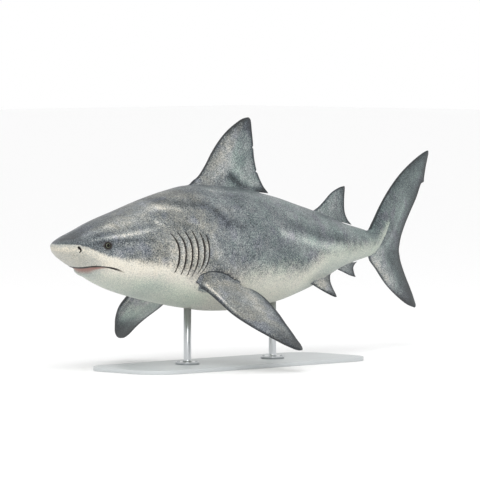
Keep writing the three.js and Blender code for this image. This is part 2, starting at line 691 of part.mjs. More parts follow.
let gillRegion = wholeBody.intersect(between(CUTS.gillFront, CUTS.gillRear));
for (const [, side] of sides) {
  for (const station of GILL_STATIONS) gillRegion = gillRegion.subtract(gillBlade(station, side, SLIT));
  gillRegion = gillRegion.subtract(gillBlade(GILL_CREASE, side, CREASE));
}
addNode("gill_region", gillRegion, BACK_GREY);
addNode("trunk_front", wholeBody.intersect(between(CUTS.gillRear, CUTS.trunkMiddle)), BACK_GREY);
addNode("trunk_rear", wholeBody.intersect(between(CUTS.trunkMiddle, CUTS.tailStock)), BACK_GREY);
addNode("tail_stock", wholeBody.intersect(between(CUTS.tailStock, CUTS.tailFin)), BACK_GREY);

addNode("first_dorsal_fin", firstDorsal.subtract(bodyWithGap), FIN_GREY);
addNode("second_dorsal_fin", secondDorsal.subtract(bodyWithGap), FIN_GREY);
addNode("anal_fin", analFin.subtract(bodyWithGap), FIN_GREY);
for (const [name, side] of sides) {
  addNode(`pectoral_fin_${name}`, pectoralFin(name, side).subtract(bodyWithGap), FIN_GREY);
  addNode(`pelvic_fin_${name}`, pelvicFin(side).subtract(bodyWithGap), FIN_GREY);
}
for (const [name, lobe, way] of [["upper", upperLobe, 1], ["lower", lowerLobe, -1]]) {
  const solid = lobe.add(wholeBody).intersect(between(CUTS.tailFin, null)).intersect(lobeRegion(way));
  addNode(`tail_fin_${name}_lobe`, solid, FIN_GREY);
}

// ---------------------------------------------------------------- display stand
const BASE = { long: 1240, wide: 430, thick: 16, corner: 120, chamfer: 3, station: 0.4 };
const ROD = { radius: 15, foot: 48, footThick: 10, fillet: 10, edge: 2, intoBelly: 60 };
const ROD_STATIONS = { front: 0.3, rear: 0.5 };

const baseCentre = place(BASE.station, 0, 0);
const baseTop = BASE.thick - SWIMMING_LINE_HEIGHT;

function roundedPlate(long, wide, corner) {
  const plate = new THREE.Shape();
  const x = long / 2;
  const y = wide / 2;
  const cornersRound = [[x, y, 0], [-x, y, 90], [-x, -y, 180], [x, -y, 270]];
  for (const [cx, cy, start] of cornersRound) {
    const from = THREE.MathUtils.degToRad(start);
    const centreX = cx - Math.sign(cx) * corner;
    const centreY = cy - Math.sign(cy) * corner;
    plate.absarc(centreX, centreY, corner, from, from + Math.PI / 2, false);
  }
  return plate;
}

function standBase() {
  const inset = BASE.chamfer;
  const outline = roundedPlate(BASE.long - 2 * inset, BASE.wide - 2 * inset, BASE.corner - inset);
  const plate = new THREE.ExtrudeGeometry(outline, {
    depth: BASE.thick - 2 * inset,
    bevelThickness: inset,
    bevelSize: inset,
    bevelSegments: 1,
    curveSegments: 8,
  });
  const matrix = new THREE.Matrix4().setPosition(baseCentre.x, baseCentre.y, inset - SWIMMING_LINE_HEIGHT);
  return solidOf(plate, matrix);
}

// A turned rod with a round foot; its top is cut to the curve of the belly that it carries.
function standRod(station) {
  const at = place(station, 0, 0);
  const top = bellyLine(station) * LENGTH + ROD.intoBelly - baseTop;
  const { radius, foot, footThick, fillet, edge } = ROD;
  const outline = [
    [0, GAP], [foot - edge, GAP], [foot, GAP + edge], [foot, footThick - edge], [foot - edge, footThick],
    [radius + fillet, footThick], [radius + 0.3 * fillet, footThick + 0.3 * fillet],
    [radius, footThick + fillet], [radius, top], [0, top],
  ];
  const lathe = new THREE.LatheGeometry(outline.map(([r, h]) => new THREE.Vector2(r, h)), 28);
  const matrix = new THREE.Matrix4().makeRotationX(Math.PI / 2).setPosition(at.x, at.y, baseTop);
  return solidOf(lathe, matrix).subtract(bodyWithGap);
}

addNode("stand_base", standBase(), BASE_PAINT);
for (const [name, station] of Object.entries(ROD_STATIONS)) {
  addNode(`stand_rod_${name}`, standRod(station), ROD_STEEL);
}

group.position.set(-baseCentre.x, -baseCentre.y, SWIMMING_LINE_HEIGHT);

export default group;
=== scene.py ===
import json
import math
from bisect import bisect_right

import bmesh
import bpy
from mathutils import Matrix, Vector
from mathutils.kdtree import KDTree

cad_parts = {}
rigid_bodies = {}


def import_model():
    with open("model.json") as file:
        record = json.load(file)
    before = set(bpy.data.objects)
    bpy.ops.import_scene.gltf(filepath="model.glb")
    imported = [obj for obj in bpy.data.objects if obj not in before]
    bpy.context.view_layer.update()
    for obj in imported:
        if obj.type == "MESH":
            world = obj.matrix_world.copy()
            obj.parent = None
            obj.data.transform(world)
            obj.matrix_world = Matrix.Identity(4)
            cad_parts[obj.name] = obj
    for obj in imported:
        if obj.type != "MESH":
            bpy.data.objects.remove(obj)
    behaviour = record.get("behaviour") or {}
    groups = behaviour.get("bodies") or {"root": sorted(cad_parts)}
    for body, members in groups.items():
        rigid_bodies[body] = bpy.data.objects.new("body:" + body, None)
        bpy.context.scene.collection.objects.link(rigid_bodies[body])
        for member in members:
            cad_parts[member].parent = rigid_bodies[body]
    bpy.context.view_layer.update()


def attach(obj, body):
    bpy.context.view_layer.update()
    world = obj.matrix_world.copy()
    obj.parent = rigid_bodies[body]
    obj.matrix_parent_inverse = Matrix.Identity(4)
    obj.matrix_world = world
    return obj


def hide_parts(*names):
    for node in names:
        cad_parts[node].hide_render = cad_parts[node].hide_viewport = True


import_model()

# ---------------------------------------------------------------- backbone
# The shark swims on a level backbone, straight to the belly fins and bent to its right through the tail.
# A place on the body is a station s along the backbone from the snout tip, a distance q to the left side
# and a height z over the backbone, all as shares of the length.
LENGTH = 2.4
SWIMMING_HEIGHT = 0.5
STAND_STATION = 0.4
TAIL_BEND = math.radians(17)
BEND_FROM = 0.52
BEND_TO = 0.86
SPINE_STEPS = 480


def smoothstep(low, high, value):
    """0 up to low, 1 from high on, with a smooth rise between."""
    t = min(1.0, max(0.0, (value - low) / (high - low)))
    return t * t * (3 - 2 * t)


def smoothfall(low, high, value):
    """1 up to low, 0 from high on, with a smooth fall between."""
    return 1 - smoothstep(low, high, value)


def hump(value, middle, width):
    """1 at the middle, dying away on both sides over about the width."""
    return math.exp(-(((value - middle) / width) ** 2))


def profile(*points):
    """A smooth line through (place, value) pairs that never overshoots them."""
    places = [p[0] for p in points]
    values = [p[1] for p in points]
    last = len(points) - 1
    slopes = [(values[i + 1] - values[i]) / (places[i + 1] - places[i]) for i in range(last)]
    tangents = [slopes[0]]
    for before, after in zip(slopes, slopes[1:]):
        tangents.append(0.0 if before * after <= 0 else 2 * before * after / (before + after))
    tangents.append(slopes[-1])

    def at(place):
        i = min(last - 1, max(0, bisect_right(places, place) - 1))
        width = places[i + 1] - places[i]
        t = min(1.0, max(0.0, (place - places[i]) / width))
        rise = values[i + 1] - values[i]
        start, end = width * tangents[i], width * tangents[i + 1]
        return values[i] + t * (start + t * (3 * rise - 2 * start - end + t * (start + end - 2 * rise)))

    return at


def bend_angle(s):
    """How far the backbone has turned to the right at s."""
    return TAIL_BEND * smoothstep(BEND_FROM, BEND_TO, s)


spine = [Vector((-STAND_STATION * LENGTH, 0, SWIMMING_HEIGHT))]
for i in range(SPINE_STEPS):
    angle = bend_angle((i + 0.5) / SPINE_STEPS)
    spine.append(spine[-1] + Vector((math.cos(angle), math.sin(angle), 0)) * (LENGTH / SPINE_STEPS))


def on_backbone(s):
    """The point of the backbone at s."""
    at = min(SPINE_STEPS - 1e-6, max(0.0, s * SPINE_STEPS))
    i = int(at)
    return spine[i].lerp(spine[i + 1], at - i)


def place(s, q, z, out=0.0):
    """The point at s, q and z; out is extra metres to the left."""
    point = on_backbone(s)
    angle = bend_angle(s)
    side = q * LENGTH + out
    leftwards = Vector((math.sin(angle), -math.cos(angle), 0))
    return point + side * leftwards + Vector((0, 0, z * LENGTH))


# ---------------------------------------------------------------- body form
# A stout, high-backed spindle with a broad blunt snout, moulded in one with the narrow tail stock, which
# runs on as a ridge into the upper lobe of the tail. These lines are its outlines from above and beside.
SNOUT_TIP_Z = 0.003
SNOUT_ROUNDING = 0.03
BODY_END = 0.87
top_line = profile(
    (0, 0.0065), (0.012, 0.0108), (0.034, 0.0181), (0.06, 0.0294), (0.1, 0.0436), (0.155, 0.0594),
    (0.21, 0.0754), (0.264, 0.0882), (0.306, 0.0945), (0.36, 0.0925), (0.42, 0.0858), (0.49, 0.0725),
    (0.547, 0.0572), (0.592, 0.045), (0.672, 0.0217), (0.726, 0.0105), (0.757, 0.0052), (0.775, 0.01),
    (0.8, 0.031), (0.835, 0.058), (BODY_END, 0.077),
)
belly_line = profile(
    (0, -0.0123), (0.015, -0.0145), (0.03, -0.0222), (0.05, -0.0326), (0.058, -0.0365), (0.066, -0.043),
    (0.08, -0.0515), (0.1, -0.061), (0.128, -0.0717), (0.16, -0.081), (0.2, -0.0906), (0.255, -0.102),
    (0.3, -0.1093), (0.34, -0.1145), (0.38, -0.1158), (0.43, -0.1137), (0.492, -0.1063), (0.5425, -0.0948),
    (0.592, -0.08), (0.643, -0.06), (0.675, -0.0515), (0.71, -0.0455), (0.757, -0.0385), (0.775, -0.0325),
    (0.8, -0.02), (0.835, 0.006), (BODY_END, 0.038),
)
half_width = profile(
    (0, 0.022), (0.03, 0.0375), (0.07, 0.0525), (0.11, 0.0635), (0.16, 0.0755), (0.22, 0.0865),
    (0.28, 0.093), (0.36, 0.094), (0.45, 0.086), (0.55, 0.065), (0.65, 0.04), (0.7, 0.0285),
    (0.757, 0.0172), (0.775, 0.0128), (0.8, 0.0083), (0.835, 0.0055), (BODY_END, 0.002),
)
widest_line = profile(
    (0, 0.003), (0.03, 0.002), (0.07, -0.003), (0.12, -0.008), (0.2, -0.011), (0.3, -0.013), (0.4, -0.015),
    (0.5, -0.017), (0.6, -0.018), (0.757, -0.017), (0.775, -0.0135), (0.8, 0.003), (0.835, 0.026),
    (BODY_END, 0.052),
)
upper_fullness = profile((0, 2), (0.05, 2.3), (0.15, 2.15), (0.3, 2), (BODY_END, 2))
lower_fullness = profile(
    (0, 2.2), (0.045, 2.35), (0.062, 2.05), (0.1, 2.15), (0.16, 2.35), (0.3, 2.2), (0.6, 2), (BODY_END, 2),
)


def section(s):
    """The cross-section at s: its widest height, half width, height above and below, and fullness."""
    u = min(1.0, max(0.0, s / SNOUT_ROUNDING))
    rounding = math.sqrt(1 - (1 - u) ** 2)
    widest = SNOUT_TIP_Z + (widest_line(s) - SNOUT_TIP_Z) * rounding
    above = SNOUT_TIP_Z + (top_line(s) - SNOUT_TIP_Z) * rounding - widest
    below = widest - SNOUT_TIP_Z - (belly_line(s) - SNOUT_TIP_Z) * rounding
    return widest, half_width(s) * rounding, above, below, upper_fullness(s), lower_fullness(s)


def section_point(s, turn):
    """Where the outline of the section is at turn, the angle round it from the left side."""
    widest, width, above, below, upper, lower = section(s)
    across, rise = math.cos(turn), math.sin(turn)
    power = 2 / (upper if rise >= 0 else lower)
    q = math.copysign(abs(across) ** power, across) * width
    return q, widest + math.copysign(abs(rise) ** power, rise) * (above if rise >= 0 else below)


def skin_at(s, z, side):
    """The point of the body form at s and z, on one side (1 is left, -1 is right)."""
    widest, width, above, below, upper, lower = section(s)
    share, full = ((z - widest) / above, upper) if z >= widest else ((widest - z) / below, lower)
    q = width * (1 - min(1.0, share) ** full) ** (1 / full)
    return place(s, side * q, z)


def skin_frame(s, z, side):
    """The same point, with the ways forwards and up over the skin, and the outward normal."""
    step = 0.002
    forwards = (skin_at(s - step, z, side) - skin_at(s + step, z, side)).normalized()
    upwards = (skin_at(s, z + step, side) - skin_at(s, z - step, side)).normalized()
    normal = (upwards.cross(forwards) * side).normalized()
    return skin_at(s, z, side), forwards, normal.cross(forwards) * side * -1, normal


# ---------------------------------------------------------------- gills
# Five gill slits a side, each open behind a thin flap of skin that overlaps the next, and one crease
# behind the last. They bow forwards at their ends, and are longest in the middle of the row.
GILL_STATIONS = (0.198, 0.211, 0.224, 0.236, 0.2485)
GILL_CREASE = 0.2585
GILLS_FROM = 0.176
GILLS_TO = GILL_CREASE + 0.007
GILL_ROW = (GILLS_FROM, *GILL_STATIONS, GILL_CREASE)
GILL_MIDDLE = -0.012
BOW_GROWS = (0.16, 0.19)
BOW_DIES = (0.262, 0.3)
BOW_LIMIT = 1.3
FLAP_RISE = 0.0032
FLAP_OVERHANG = 0.0012
SLIT_DEPTH = 0.014
SLIT_WIDTH = 0.0068
CREASE_DEPTH = 0.005
gill_top = profile((0.19, 0.0185), (0.211, 0.0232), (0.236, 0.0228), (0.26, 0.018))
gill_bottom = profile((0.19, -0.041), (0.211, -0.047), (0.236, -0.0515), (0.26, -0.0455))
bow_above = profile((0.19, 0.0095), (0.211, 0.011), (0.236, 0.006), (0.26, 0.003))
bow_below = profile((0.19, 0.0035), (0.224, 0.0045), (0.2485, 0.0095), (0.26, 0.0115))


def gill_reach(s, z):
    """How far z is from the middle of the slit at s towards its end: 1 at the top, -1 at the bottom."""
    end = gill_top(s) if z > GILL_MIDDLE else gill_bottom(s)
    return (z - GILL_MIDDLE) / abs(end - GILL_MIDDLE)


def gill_bow(s, z):
    """How far forwards of its middle a slit is at height z."""
    fade = smoothstep(*BOW_GROWS, s) * smoothfall(*BOW_DIES, s)
    reach = gill_reach(s, z)
    bow = bow_above(s) if reach > 0 else bow_below(s)
    return fade * bow * min(BOW_LIMIT, reach * reach)


def gill_relief(s, z):
    """How far the skin stands out at the gills, how far it leans back over a slit (m), how much of a
    slit it is, darkened with painted shade, and how much of a flap's pale rim, a painted highlight
    towards the flap's rear edge, from 0 to 1."""
    reach = gill_reach(s, z)
    if not GILLS_FROM <= s <= GILLS_TO or abs(reach) >= 1:
        return 0.0, 0.0, 0.0, 0.0
    open_share = math.sqrt(1 - reach * reach)
    i = bisect_right(GILL_ROW, s) - 1
    out = lean = slit = rim = 0.0
    if i < len(GILL_ROW) - 1:
        along = (s - GILL_ROW[i]) / (GILL_ROW[i + 1] - GILL_ROW[i])
        out = FLAP_RISE * along ** 1.4 * open_share
        lean = FLAP_OVERHANG * smoothstep(0.7, 1, along) * open_share
        rim = smoothstep(0.4, 0.85, along) * open_share if i > 0 else 0.5 * smoothstep(0.8, 1, along)
    if i > 0:
        behind = (s - GILL_ROW[i]) * LENGTH
        depth = CREASE_DEPTH if i == len(GILL_ROW) - 1 else SLIT_DEPTH
        width = SLIT_WIDTH * (0.35 + 0.65 * open_share)
        floor = smoothstep(0, 0.0006, behind) * smoothfall(0.55 * width, 1.6 * width, behind)
        out -= depth * floor * open_share**0.7
        slit = smoothfall(1.1 * width, 1.6 * width, behind)
    if i < len(GILL_ROW) - 1:
        slit = max(slit, smoothstep(-0.002, -0.0007, (s - GILL_ROW[i + 1]) * LENGTH))
    return out, lean, slit * smoothstep(0, 0.3, open_share), rim


# ---------------------------------------------------------------- mouth
# A wide crescent under the snout, shut but for a dark line of painted shade: the upper jaw overhangs,
# and a soft rolled lower lip runs round the chin and thins out towards the corners, which end in a
# short crease.
MOUTH_FRONT = 0.054
MOUTH_CORNER = 0.108
MOUTH_SAMPLES = 200
MOUTH_SMOOTHING = 12
MOUTH_DEPTH = 0.011
UPPER_LIP_OUT = 0.0016
LOWER_LIP_OUT = 0.0045
LIP_TUCK = 0.009
LIP_FOLD = 0.0014
CHIN_BULGE = 0.005
CORNER_CREASE = 0.0012
PAST_CORNER = 0.2
mouth_line = profile(
    (0.03, -0.0345), (MOUTH_FRONT, -0.0342), (0.0555, -0.0326), (0.058, -0.0318), (0.0635, -0.0313),
    (0.0722, -0.0317), (0.0806, -0.0328), (0.0884, -0.0346), (0.0967, -0.0372), (MOUTH_CORNER, -0.0415),
)


def tree_of(points):
    """The points, sorted so that the nearest one is found fast."""
    tree = KDTree(len(points))
    for i, point in enumerate(points):
        tree.insert(point, i)
    tree.balance()
    return tree


def even_path(points, count):
    """The same path with evenly spaced points."""
    lengths = [0.0]
    for a, b in zip(points, points[1:]):
        lengths.append(lengths[-1] + (b - a).length)
    path = []
    for k in range(count + 1):
        far = lengths[-1] * k / count
        i = min(len(points) - 2, max(0, bisect_right(lengths, far) - 1))
        share = (far - lengths[i]) / (lengths[i + 1] - lengths[i] + 1e-12)
        path.append(points[i].lerp(points[i + 1], share))
    return path


def nearest_on(path, tree, point):
    """The nearest point of a path, the way along it there, and the share of its length that is passed."""
    _, i, _ = tree.find(point)
    best = None
    for k in (i - 1, i):
        if 0 <= k < len(path) - 1:
            step = path[k + 1] - path[k]
            share = min(1.0, max(0.0, (point - path[k]).dot(step) / step.length_squared))
            near = path[k] + step * share
            if best is None or (point - near).length < (point - best[0]).length:
                best = near, step.normalized(), (k + share) / (len(path) - 1)
    return best


mouth_path = []
for i in range(4 * MOUTH_SAMPLES + 1):
    turn = math.pi * (i / (4 * MOUTH_SAMPLES) - 0.5)
    s = MOUTH_CORNER - (MOUTH_CORNER - MOUTH_FRONT) * math.cos(turn)
    mouth_path.append(skin_at(s, max(mouth_line(s), belly_line(s)), math.copysign(1, turn)))
mouth_path = even_path(mouth_path, MOUTH_SAMPLES)
for _ in range(MOUTH_SMOOTHING):
    middles = [(a + 2 * b + c) / 4 for a, b, c in zip(mouth_path, mouth_path[1:], mouth_path[2:])]
    mouth_path = [mouth_path[0], *middles, mouth_path[-1]]
mouth_tree = tree_of(mouth_path)


def mouth_distance(point, normal):
    """How far a point is below the mouth line (m, less than 0 on the upper jaw), and how far along it
    is, from 0 at the middle of the chin to 1 at the corner and more beyond."""
    nearest, way, share = nearest_on(mouth_path, mouth_tree, point)
    below = way.cross(normal).normalized()
    if below.x - below.z < 0:
        below = -below
    offset = point - nearest
    beyond = abs(offset.dot(way))
    return math.copysign(offset.length, offset.dot(below)), abs(2 * share - 1) + beyond / PAST_CORNER


def mouth_relief(below, along):
    """How far the skin stands out by the mouth (m)."""
    opened = smoothfall(0.84, 1.02, along)
    chin = smoothfall(0.35, 0.9, along)
    slit = smoothstep(-0.0014, -0.0004, below) * smoothfall(0.0014, 0.0032, below)
    upper_lip = UPPER_LIP_OUT * hump(below, -0.005, 0.0035)
    lower_lip = LOWER_LIP_OUT * chin * hump(below, 0.0125, 0.007)
    tuck = LIP_TUCK * chin * smoothstep(0, 0.002, below) * smoothfall(0.012, 0.032, below)
    fold = LIP_FOLD * chin * hump(below, 0.023, 0.003)
    bulge = CHIN_BULGE * smoothfall(0.25, 0.7, along) * hump(below, 0.045, 0.02)
    corner = CORNER_CREASE * smoothstep(0.85, 0.97, along) * hump(below, 0.003, 0.004)
    return opened * (upper_lip + lower_lip - tuck - fold - MOUTH_DEPTH * slit) + bulge + corner


def mouth_paint(below, along):
    """How dark the mouth's line is, and how pink the lip, from 0 to 1. The line is painted shade in the
    shut mouth and under the overhanging upper jaw. It is wide in front, where the overhanging jaw
    would hide a thin one."""
    overhang = 0.003 + 0.01 * smoothfall(0.1, 0.6, along)
    line = smoothstep(-0.0042 - overhang, -0.0024 - 0.8 * overhang, below)
    line *= smoothfall(0.002 + 0.3 * overhang, 0.005 + 0.5 * overhang, below)
    lip_width = 0.028 * smoothfall(0.1, 0.8, along) + 0.001
    lip = smoothstep(-0.0004, 0.0012, below) * smoothfall(0.6 * lip_width, 1.25 * lip_width, below)
    return line * smoothfall(0.62, 1.1, along), lip * smoothfall(0.4, 0.8, along)


# ---------------------------------------------------------------- eye sockets and lids
# A small round eye in a shallow hollow under the brow ridge, with a smooth ring of lid that hugs the
# ball and a faint crease outside it. There is one each side, and no fold of brow hides the ball.
EYE_STATION = 0.0699
EYE_Z = 0.004
EYE_RADIUS = 0.0138
EYE_SUNK = 0.0085
EYE_LONG = 1.08
EYE_HIGH = 0.93
LID_OPENING = 0.0108
LID_OUT = 0.0034
LID_CREASE = 0.0007
SOCKET_HOLLOW = 0.0022
SOCKET_DEPTH = 0.007
eye_frames = {side: skin_frame(EYE_STATION, EYE_Z, side) for side in (1, -1)}


def eye_place(point, side):
    """A point's distances from the middle of the eye, forwards and upwards."""
    middle, forwards, upwards, _ = eye_frames[side]
    offset = point - middle
    return offset.dot(forwards), offset.dot(upwards)


def lid_distance(ahead, up):
    """How far a place is from the middle of the eye (m), in the lids' slightly long oval."""
    return math.hypot(ahead / EYE_LONG, up / EYE_HIGH)


def eye_relief(ahead, up):
    """How far the skin stands out round the eye (m): the hollow, the lids and the socket under the ball."""
    far = lid_distance(ahead, up)
    hollow = -SOCKET_HOLLOW * hump(far, 0, 0.034)
    lid = LID_OUT * hump(far, 0.0138, 0.0042) * (1.1 if up > 0 else 1)
    crease = LID_CREASE * hump(far, 0.0222, 0.0026)
    outside = hollow + lid - crease
    in_socket = smoothfall(LID_OPENING - 0.0007, LID_OPENING + 0.0009, far)
    return outside + (-SOCKET_DEPTH - outside) * in_socket


def eye_rim(ahead, up):
    """How dark the lids are, from 0 to 1: their inner edge, the two corners, and a smudge all round, as
    painted shade where the lids meet the socket and in the crease outside them.
    """
    far = lid_distance(ahead, up)
    edge = smoothfall(LID_OPENING + 0.0015, LID_OPENING + 0.0078, far)
    corners = 0.3 * hump(ahead, 0.018, 0.006) * hump(up, -0.002, 0.004)
    smudge = 0.3 * hump(far, 0.018, 0.008)
    return min(1.0, edge + corners + smudge)


# ---------------------------------------------------------------- nostrils
# A slanted slit like a comma on each side of the snout, half covered in front by a small flap of skin.
NOSTRIL = ((0.0231, 0.0016), (0.0246, 0.0), (0.0258, -0.002), (0.0263, -0.0044), (0.0252, -0.0068))
NOSTRIL_HALF_WIDTH = 0.003
NOSTRIL_DEPTH = 0.009
NOSTRIL_SAMPLES = 24
NOSTRIL_FLAP = 0.0014
NOSTRIL_RIM = 0.0006
nostril_path = {}
for side in (1, -1):
    nostril_path[side] = even_path([skin_at(s, z, side) for s, z in NOSTRIL], NOSTRIL_SAMPLES)
nostril_trees = {side: tree_of(path) for side, path in nostril_path.items()}


def nostril_distance(point, side):
    """How far a point is from the slit (m), how wide the slit is there, and how far ahead the point is."""
    nearest, _, along = nearest_on(nostril_path[side], nostril_trees[side], point)
    return (point - nearest).length, NOSTRIL_HALF_WIDTH * (1.15 - 0.75 * along), (nearest - point).x


def nostril_relief(far, width, ahead):
    """How far the skin stands out by the nostril (m): the flap and the rim, less the hole."""
    hole = NOSTRIL_DEPTH * smoothfall(0.45 * width, 1.5 * width, far)
    flap = NOSTRIL_FLAP * hump(ahead, 0.0045, 0.003) * hump(far, 0, 0.008)
    return flap + NOSTRIL_RIM * hump(far, 0.0058, 0.0024) - hole


# ---------------------------------------------------------------- markings
# Grey above and cream below, as in most sharks of open water: the edge between them is crisp on the
# head and soft along the flank. Pale streaks and dark clouds lie over the back, the same on both sides.
# Some are painted light and shade: painted highlights on the brow, the crest and the tail's ridge, and
# painted shade under the brow, by the front fin's root and low on the cream.

# The height of the edge between grey and cream, and half its width.
shade_line = profile(
    (0, 0.0052), (0.0117, 0.0065), (0.02, 0.0062), (0.0313, 0.0036), (0.0441, -0.0016), (0.0575, -0.008),
    (0.0729, -0.0132), (0.0906, -0.0172), (0.1086, -0.0205), (0.1245, -0.0222), (0.136, -0.0258),
    (0.148, -0.0272), (0.16, -0.0278), (0.173, -0.0285), (0.187, -0.0315), (0.2, -0.036), (0.215, -0.041),
    (0.245, -0.0515), (0.3, -0.061), (0.34, -0.056), (0.4, -0.047), (0.45, -0.048), (0.5, -0.05),
    (0.53, -0.043), (0.557, -0.026), (0.6, -0.018), (0.65, -0.018), (0.757, -0.0165), (0.8, 0.003),
    (0.84, 0.032), (BODY_END, 0.06),
)
shade_softness = profile(
    (0, 0.0008), (0.03, 0.0012), (0.05, 0.0024), (0.1, 0.0042), (0.16, 0.009), (0.3, 0.024), (0.5, 0.02),
    (BODY_END, 0.01),
)
# How dark the grey is, and how brownish the grey and the cream are.
side_shade = profile(
    (0, 0.98), (0.06, 0.76), (0.1, 0.63), (0.17, 0.69), (0.3, 0.7), (0.45, 0.68), (0.6, 0.76),
    (BODY_END, 0.76),
)
hue_above = profile(
    (0, 0.4), (0.05, 0.55), (0.1, 0.68), (0.15, 0.74), (0.18, 0.86), (0.25, 0.88), (0.29, 0.6), (0.34, 0.4),
    (0.4, 0.3), (0.5, 0.28), (0.6, 0.2), (BODY_END, 0.04),
)
hue_below = profile(
    (0, 0.75), (0.04, 0.65), (0.07, 0.6), (0.3, 0.45), (0.5, 0.35), (0.6, 0.2), (BODY_END, 0.1),
)
# The shoulder of the front fin, grey as the fin: its upper and its lower edge on the side of the body.
shoulder_top = profile(
    (0.2435, -0.0588), (0.2462, -0.0506), (0.2513, -0.0475), (0.269, -0.0439), (0.2893, -0.0454),
    (0.309, -0.0511), (0.3285, -0.061), (0.3429, -0.0674),
)
shoulder_bottom = profile(
    (0.2435, -0.0605), (0.2452, -0.0622), (0.2612, -0.0695), (0.288, -0.0806), (0.343, -0.09),
)
SHOULDER_FROM = 0.2428
SHOULDER_TO = 0.345
SHOULDER_NEAR = (0.23, 0.36)
SHOULDER_SHADE = 0.55
SHOULDER_SHARE = 0.6
# In millimetres: how soft the shoulder's edge is, and from how far outside it the paint changes.
SHOULDER_SOFTNESS = 1.5
SHOULDER_FADE = -20
RIM_REACH = 30.0
MILLIMETRES = 1000
OVER_REACH = 4.0

NARROW_STROKE = 0.014
STROKE_MARGIN = 0.06
# Each streak or cloud: how much darker it is (less than 0 is paler), its half width (m) and its line.
STREAKS = (
    # Head: pale lines over the brow, partly the skin's streaks and partly painted highlight along the
    # brow ridge and over the top of the head, with the dark between them, round the eye and on the cheek.
    (-0.34, 0.006, ((0.034, 0.0093), (0.0615, 0.0145), (0.1, 0.018), (0.133, 0.0234), (0.18, 0.0319))),
    (-0.18, 0.009, ((0.0374, 0.0187), (0.0593, 0.027), (0.0826, 0.0319), (0.1, 0.035))),
    (-0.1, 0.009, ((0.0826, 0.0319), (0.1053, 0.0359), (0.1436, 0.0454))),
    (-0.2, 0.011, ((0.1436, 0.0454), (0.1777, 0.0593), (0.21, 0.0673))),
    (-0.3, 0.007, ((0.1668, 0.0416), (0.1752, 0.0372), (0.1841, 0.0318))),
    (-0.25, 0.01, ((0.1851, 0.0588), (0.2116, 0.0614), (0.2335, 0.0584))),
    (0.1, 0.008, ((0.0351, 0.014), (0.0621, 0.0205), (0.0908, 0.0251), (0.1213, 0.0296), (0.143, 0.0344))),
    # Painted shade: the dark band under the brow ridge, over the eye.
    (0.24, 0.008, ((0.0417, 0.0089), (0.0671, 0.011), (0.1132, 0.0117), (0.1428, 0.0119), (0.1624, 0.0097))),
    (0.08, 0.012, ((0.1573, 0.0503), (0.1789, 0.0517), (0.2067, 0.0495), (0.2294, 0.0473))),
    (0.16, 0.016, ((0.07, 0.003), (0.094, 0.0025))),
    (0.05, 0.015, ((0.0916, -0.0026), (0.1208, -0.0139), (0.1505, -0.0146), (0.1687, -0.0116))),
    (0.06, 0.02, ((0.154, -0.01), (0.166, -0.008))),
    # Gills: pale flaps, with the dark in front of them and above.
    (-0.25, 0.055, ((0.195, -0.014), (0.23, -0.014))),
    (0.1, 0.014, ((0.176, -0.002), (0.179, -0.018))),
    (0.12, 0.016, ((0.1892, 0.0299), (0.2103, 0.0312), (0.2314, 0.0307), (0.2505, 0.0232), (0.2608, 0.0106))),
    # Behind the gills and over the front fin's shoulder.
    (-0.22, 0.024, ((0.2395, 0.0365), (0.2599, 0.0262), (0.2757, 0.0061), (0.2797, -0.0138))),
    (-0.14, 0.016, ((0.2594, 0.0452), (0.2746, 0.0336), (0.2969, 0.0118))),
    (-0.14, 0.02, ((0.2742, -0.0185), (0.2952, -0.0291), (0.3174, -0.0398))),
    (-0.14, 0.008, ((0.2354, -0.0524), (0.2473, -0.0437), (0.2764, -0.0377), (0.3048, -0.0426))),
    # Painted shadow over the rear of the front fin's root, where the fin folds against the body.
    (0.35, 0.015, ((0.285, -0.043), (0.309, -0.0495), (0.3285, -0.0595))),
    (0.08, 0.024, ((0.2958, 0.0114), (0.313, -0.005), (0.3407, -0.0098), (0.3752, -0.023))),
    # Back: the dark band from the nape down the flank, and the shades round the first dorsal fin.
    (0.25, 0.015, ((0.205, 0.0708), (0.2494, 0.0673), (0.2819, 0.0647), (0.2975, 0.0507), (0.3104, 0.0327))),
    (0.06, 0.03, ((0.3104, 0.0327), (0.3495, 0.0316), (0.3868, 0.0205), (0.4169, 0.0016), (0.4451, -0.0195))),
    (0.06, 0.026, ((0.4451, -0.0195), (0.4907, -0.0376), (0.5308, -0.0414))),
    (0.16, 0.024, ((0.322, 0.038), (0.342, 0.0251))),
    (0.1, 0.03, ((0.348, 0.066), (0.365, 0.05))),
    (0.16, 0.03, ((0.265, 0.081), (0.3, 0.086))),
    (0.12, 0.016, ((0.33, 0.079), (0.36, 0.075), (0.4, 0.071))),
    (-0.08, 0.05, ((0.25, 0.085), (0.33, 0.09))),
    # Painted highlight: a thin pale line along the crest of the back, at the base of the first dorsal fin.
    (-0.1, 0.008, ((0.2917, 0.0913), (0.3148, 0.089), (0.3473, 0.0834), (0.3933, 0.0812))),
    (0.14, 0.02, ((0.4106, 0.0573), (0.4718, 0.0296), (0.5208, 0.0139), (0.5734, 0.001), (0.64, -0.003))),
    # The pale stripe along the rear of the flank, and the tail stock.
    (-0.4, 0.02, ((0.4402, 0.013), (0.4624, 0.008), (0.5521, -0.0115), (0.62, -0.019))),
    (0.1, 0.016, ((0.4292, -0.0339), (0.478, -0.0392))),
    (-0.13, 0.03, ((0.58, 0.0236), (0.646, 0.0126), (0.7188, 0.0012))),
)
# A pale line of painted highlight along the ridge of the tail stock and up the upper lobe.
TAIL_RIDGE_HIGHLIGHT = (-0.22, 0.0135, (
    (0.74, -0.027), (0.79, -0.026), (0.825, -0.0195), (0.857, 0.0112), (0.878, 0.0347), (0.899, 0.057),
))


